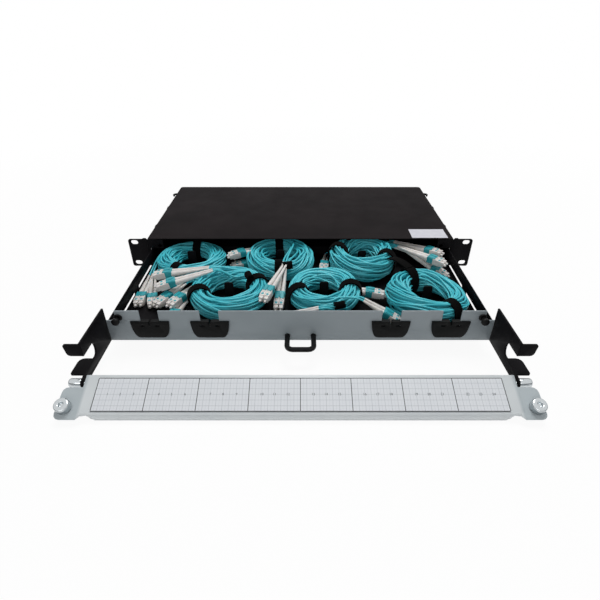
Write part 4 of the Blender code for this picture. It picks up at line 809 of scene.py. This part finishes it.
def make_floor():
    """A pale floor that shows white to the camera and in reflections, and keeps the shadow."""
    bm = bmesh.new()
    bmesh.ops.create_grid(bm, x_segments=1, y_segments=1, size=6.0)
    bmesh.ops.translate(bm, vec=(0, 0, -0.0358), verts=bm.verts)
    mesh = bpy.data.meshes.new("floor")
    bm.to_mesh(mesh)
    bm.free()
    finish, tree, shader, place = new_finish("white_floor", {
        "Base Color": linear("ffffff"), "Roughness": 0.9, "Specular IOR Level": 0.0})
    white = add_node(tree, "ShaderNodeEmission", {"Color": linear("ffffff"), "Strength": 1.0})
    path = add_node(tree, "ShaderNodeLightPath")
    seen = add_node(tree, "ShaderNodeMath", {
        0: path.outputs["Is Camera Ray"], 1: path.outputs["Is Glossy Ray"]},
        operation="MAXIMUM").outputs[0]
    far = add_node(tree, "ShaderNodeVectorMath", {0: place}, operation="LENGTH").outputs[1]
    seen = add_node(tree, "ShaderNodeMath", {0: seen, 1: ramp(tree, far, 0.4, 1.0, 0.93, 1.0)},
                    operation="MULTIPLY").outputs[0]
    mixed = add_node(tree, "ShaderNodeMixShader", {
        0: seen, 1: shader.outputs[0], 2: white.outputs[0]})
    tree.links.new(mixed.outputs[0], tree.nodes["Material Output"].inputs["Surface"])
    mesh.materials.append(finish)
    floor = bpy.data.objects.new("floor", mesh)
    bpy.context.scene.collection.objects.link(floor)


def add_lamp(name, place, aim, size, power):
    """A white softbox in metres and watts, aimed at a place."""
    lamp = bpy.data.lights.new(name, "AREA")
    lamp.shape = "RECTANGLE"
    lamp.size, lamp.size_y = size
    lamp.energy = power
    holder = bpy.data.objects.new(name, lamp)
    holder.location = place
    holder.rotation_euler = (Vector(aim) - Vector(place)).to_track_quat("-Z", "Y").to_euler()
    bpy.context.scene.collection.objects.link(holder)


def light_the_room():
    """A white room with two softboxes. Gloss sees it dark low down, as behind a camera."""
    world = bpy.data.worlds.new("room")
    bpy.context.scene.world = world
    world.use_nodes = True
    tree = world.node_tree
    light = tree.nodes["Background"]
    light.inputs["Color"].default_value = linear("ffffff")
    light.inputs["Strength"].default_value = 0.33
    place = add_node(tree, "ShaderNodeTexCoord").outputs["Generated"]
    height = add_node(tree, "ShaderNodeSeparateXYZ", {0: place}).outputs[2]
    path = add_node(tree, "ShaderNodeLightPath")
    band = ramp(tree, height, 0.12, 0.45)
    band = add_node(tree, "ShaderNodeMath", {0: band, 1: path.outputs["Is Camera Ray"]},
                    operation="MAXIMUM").outputs[0]
    seen = add_node(tree, "ShaderNodeBackground", {
        "Color": blend_colours(tree, band, "3a4046", "ffffff"), "Strength": 1.0})
    either = add_node(tree, "ShaderNodeMath", {
        0: path.outputs["Is Camera Ray"], 1: path.outputs["Is Glossy Ray"]},
        operation="MAXIMUM").outputs[0]
    mixed = add_node(tree, "ShaderNodeMixShader", {
        0: either, 1: light.outputs[0], 2: seen.outputs[0]})
    tree.links.new(mixed.outputs[0], tree.nodes["World Output"].inputs["Surface"])
    add_lamp("window", (-0.35, -1.7, 0.8), (0, -0.1, 0), (1.4, 0.8), 4.5)
    add_lamp("overhead", (0.15, 0.35, 1.7), (0, -0.05, 0), (0.9, 0.7), 17)


def set_camera():
    """The photograph's viewpoint, worked out from the corners of the ears and enclosure."""
    lens = bpy.data.cameras.new("camera")
    lens.sensor_width = 36.0
    lens.lens = 443.5 / 600 * 36.0
    lens.shift_x = -0.4 / 600
    lens.clip_start, lens.clip_end = 0.02, 50.0
    camera = bpy.data.objects.new("camera", lens)
    camera.location = (0.0, -0.565, 0.29165)
    camera.rotation_euler = (math.radians(90 - 33.5), 0.0, 0.0)
    bpy.context.scene.collection.objects.link(camera)
    bpy.context.scene.camera = camera


make_floor()
light_the_room()
set_camera()
bpy.context.scene.view_settings.view_transform = "Standard"
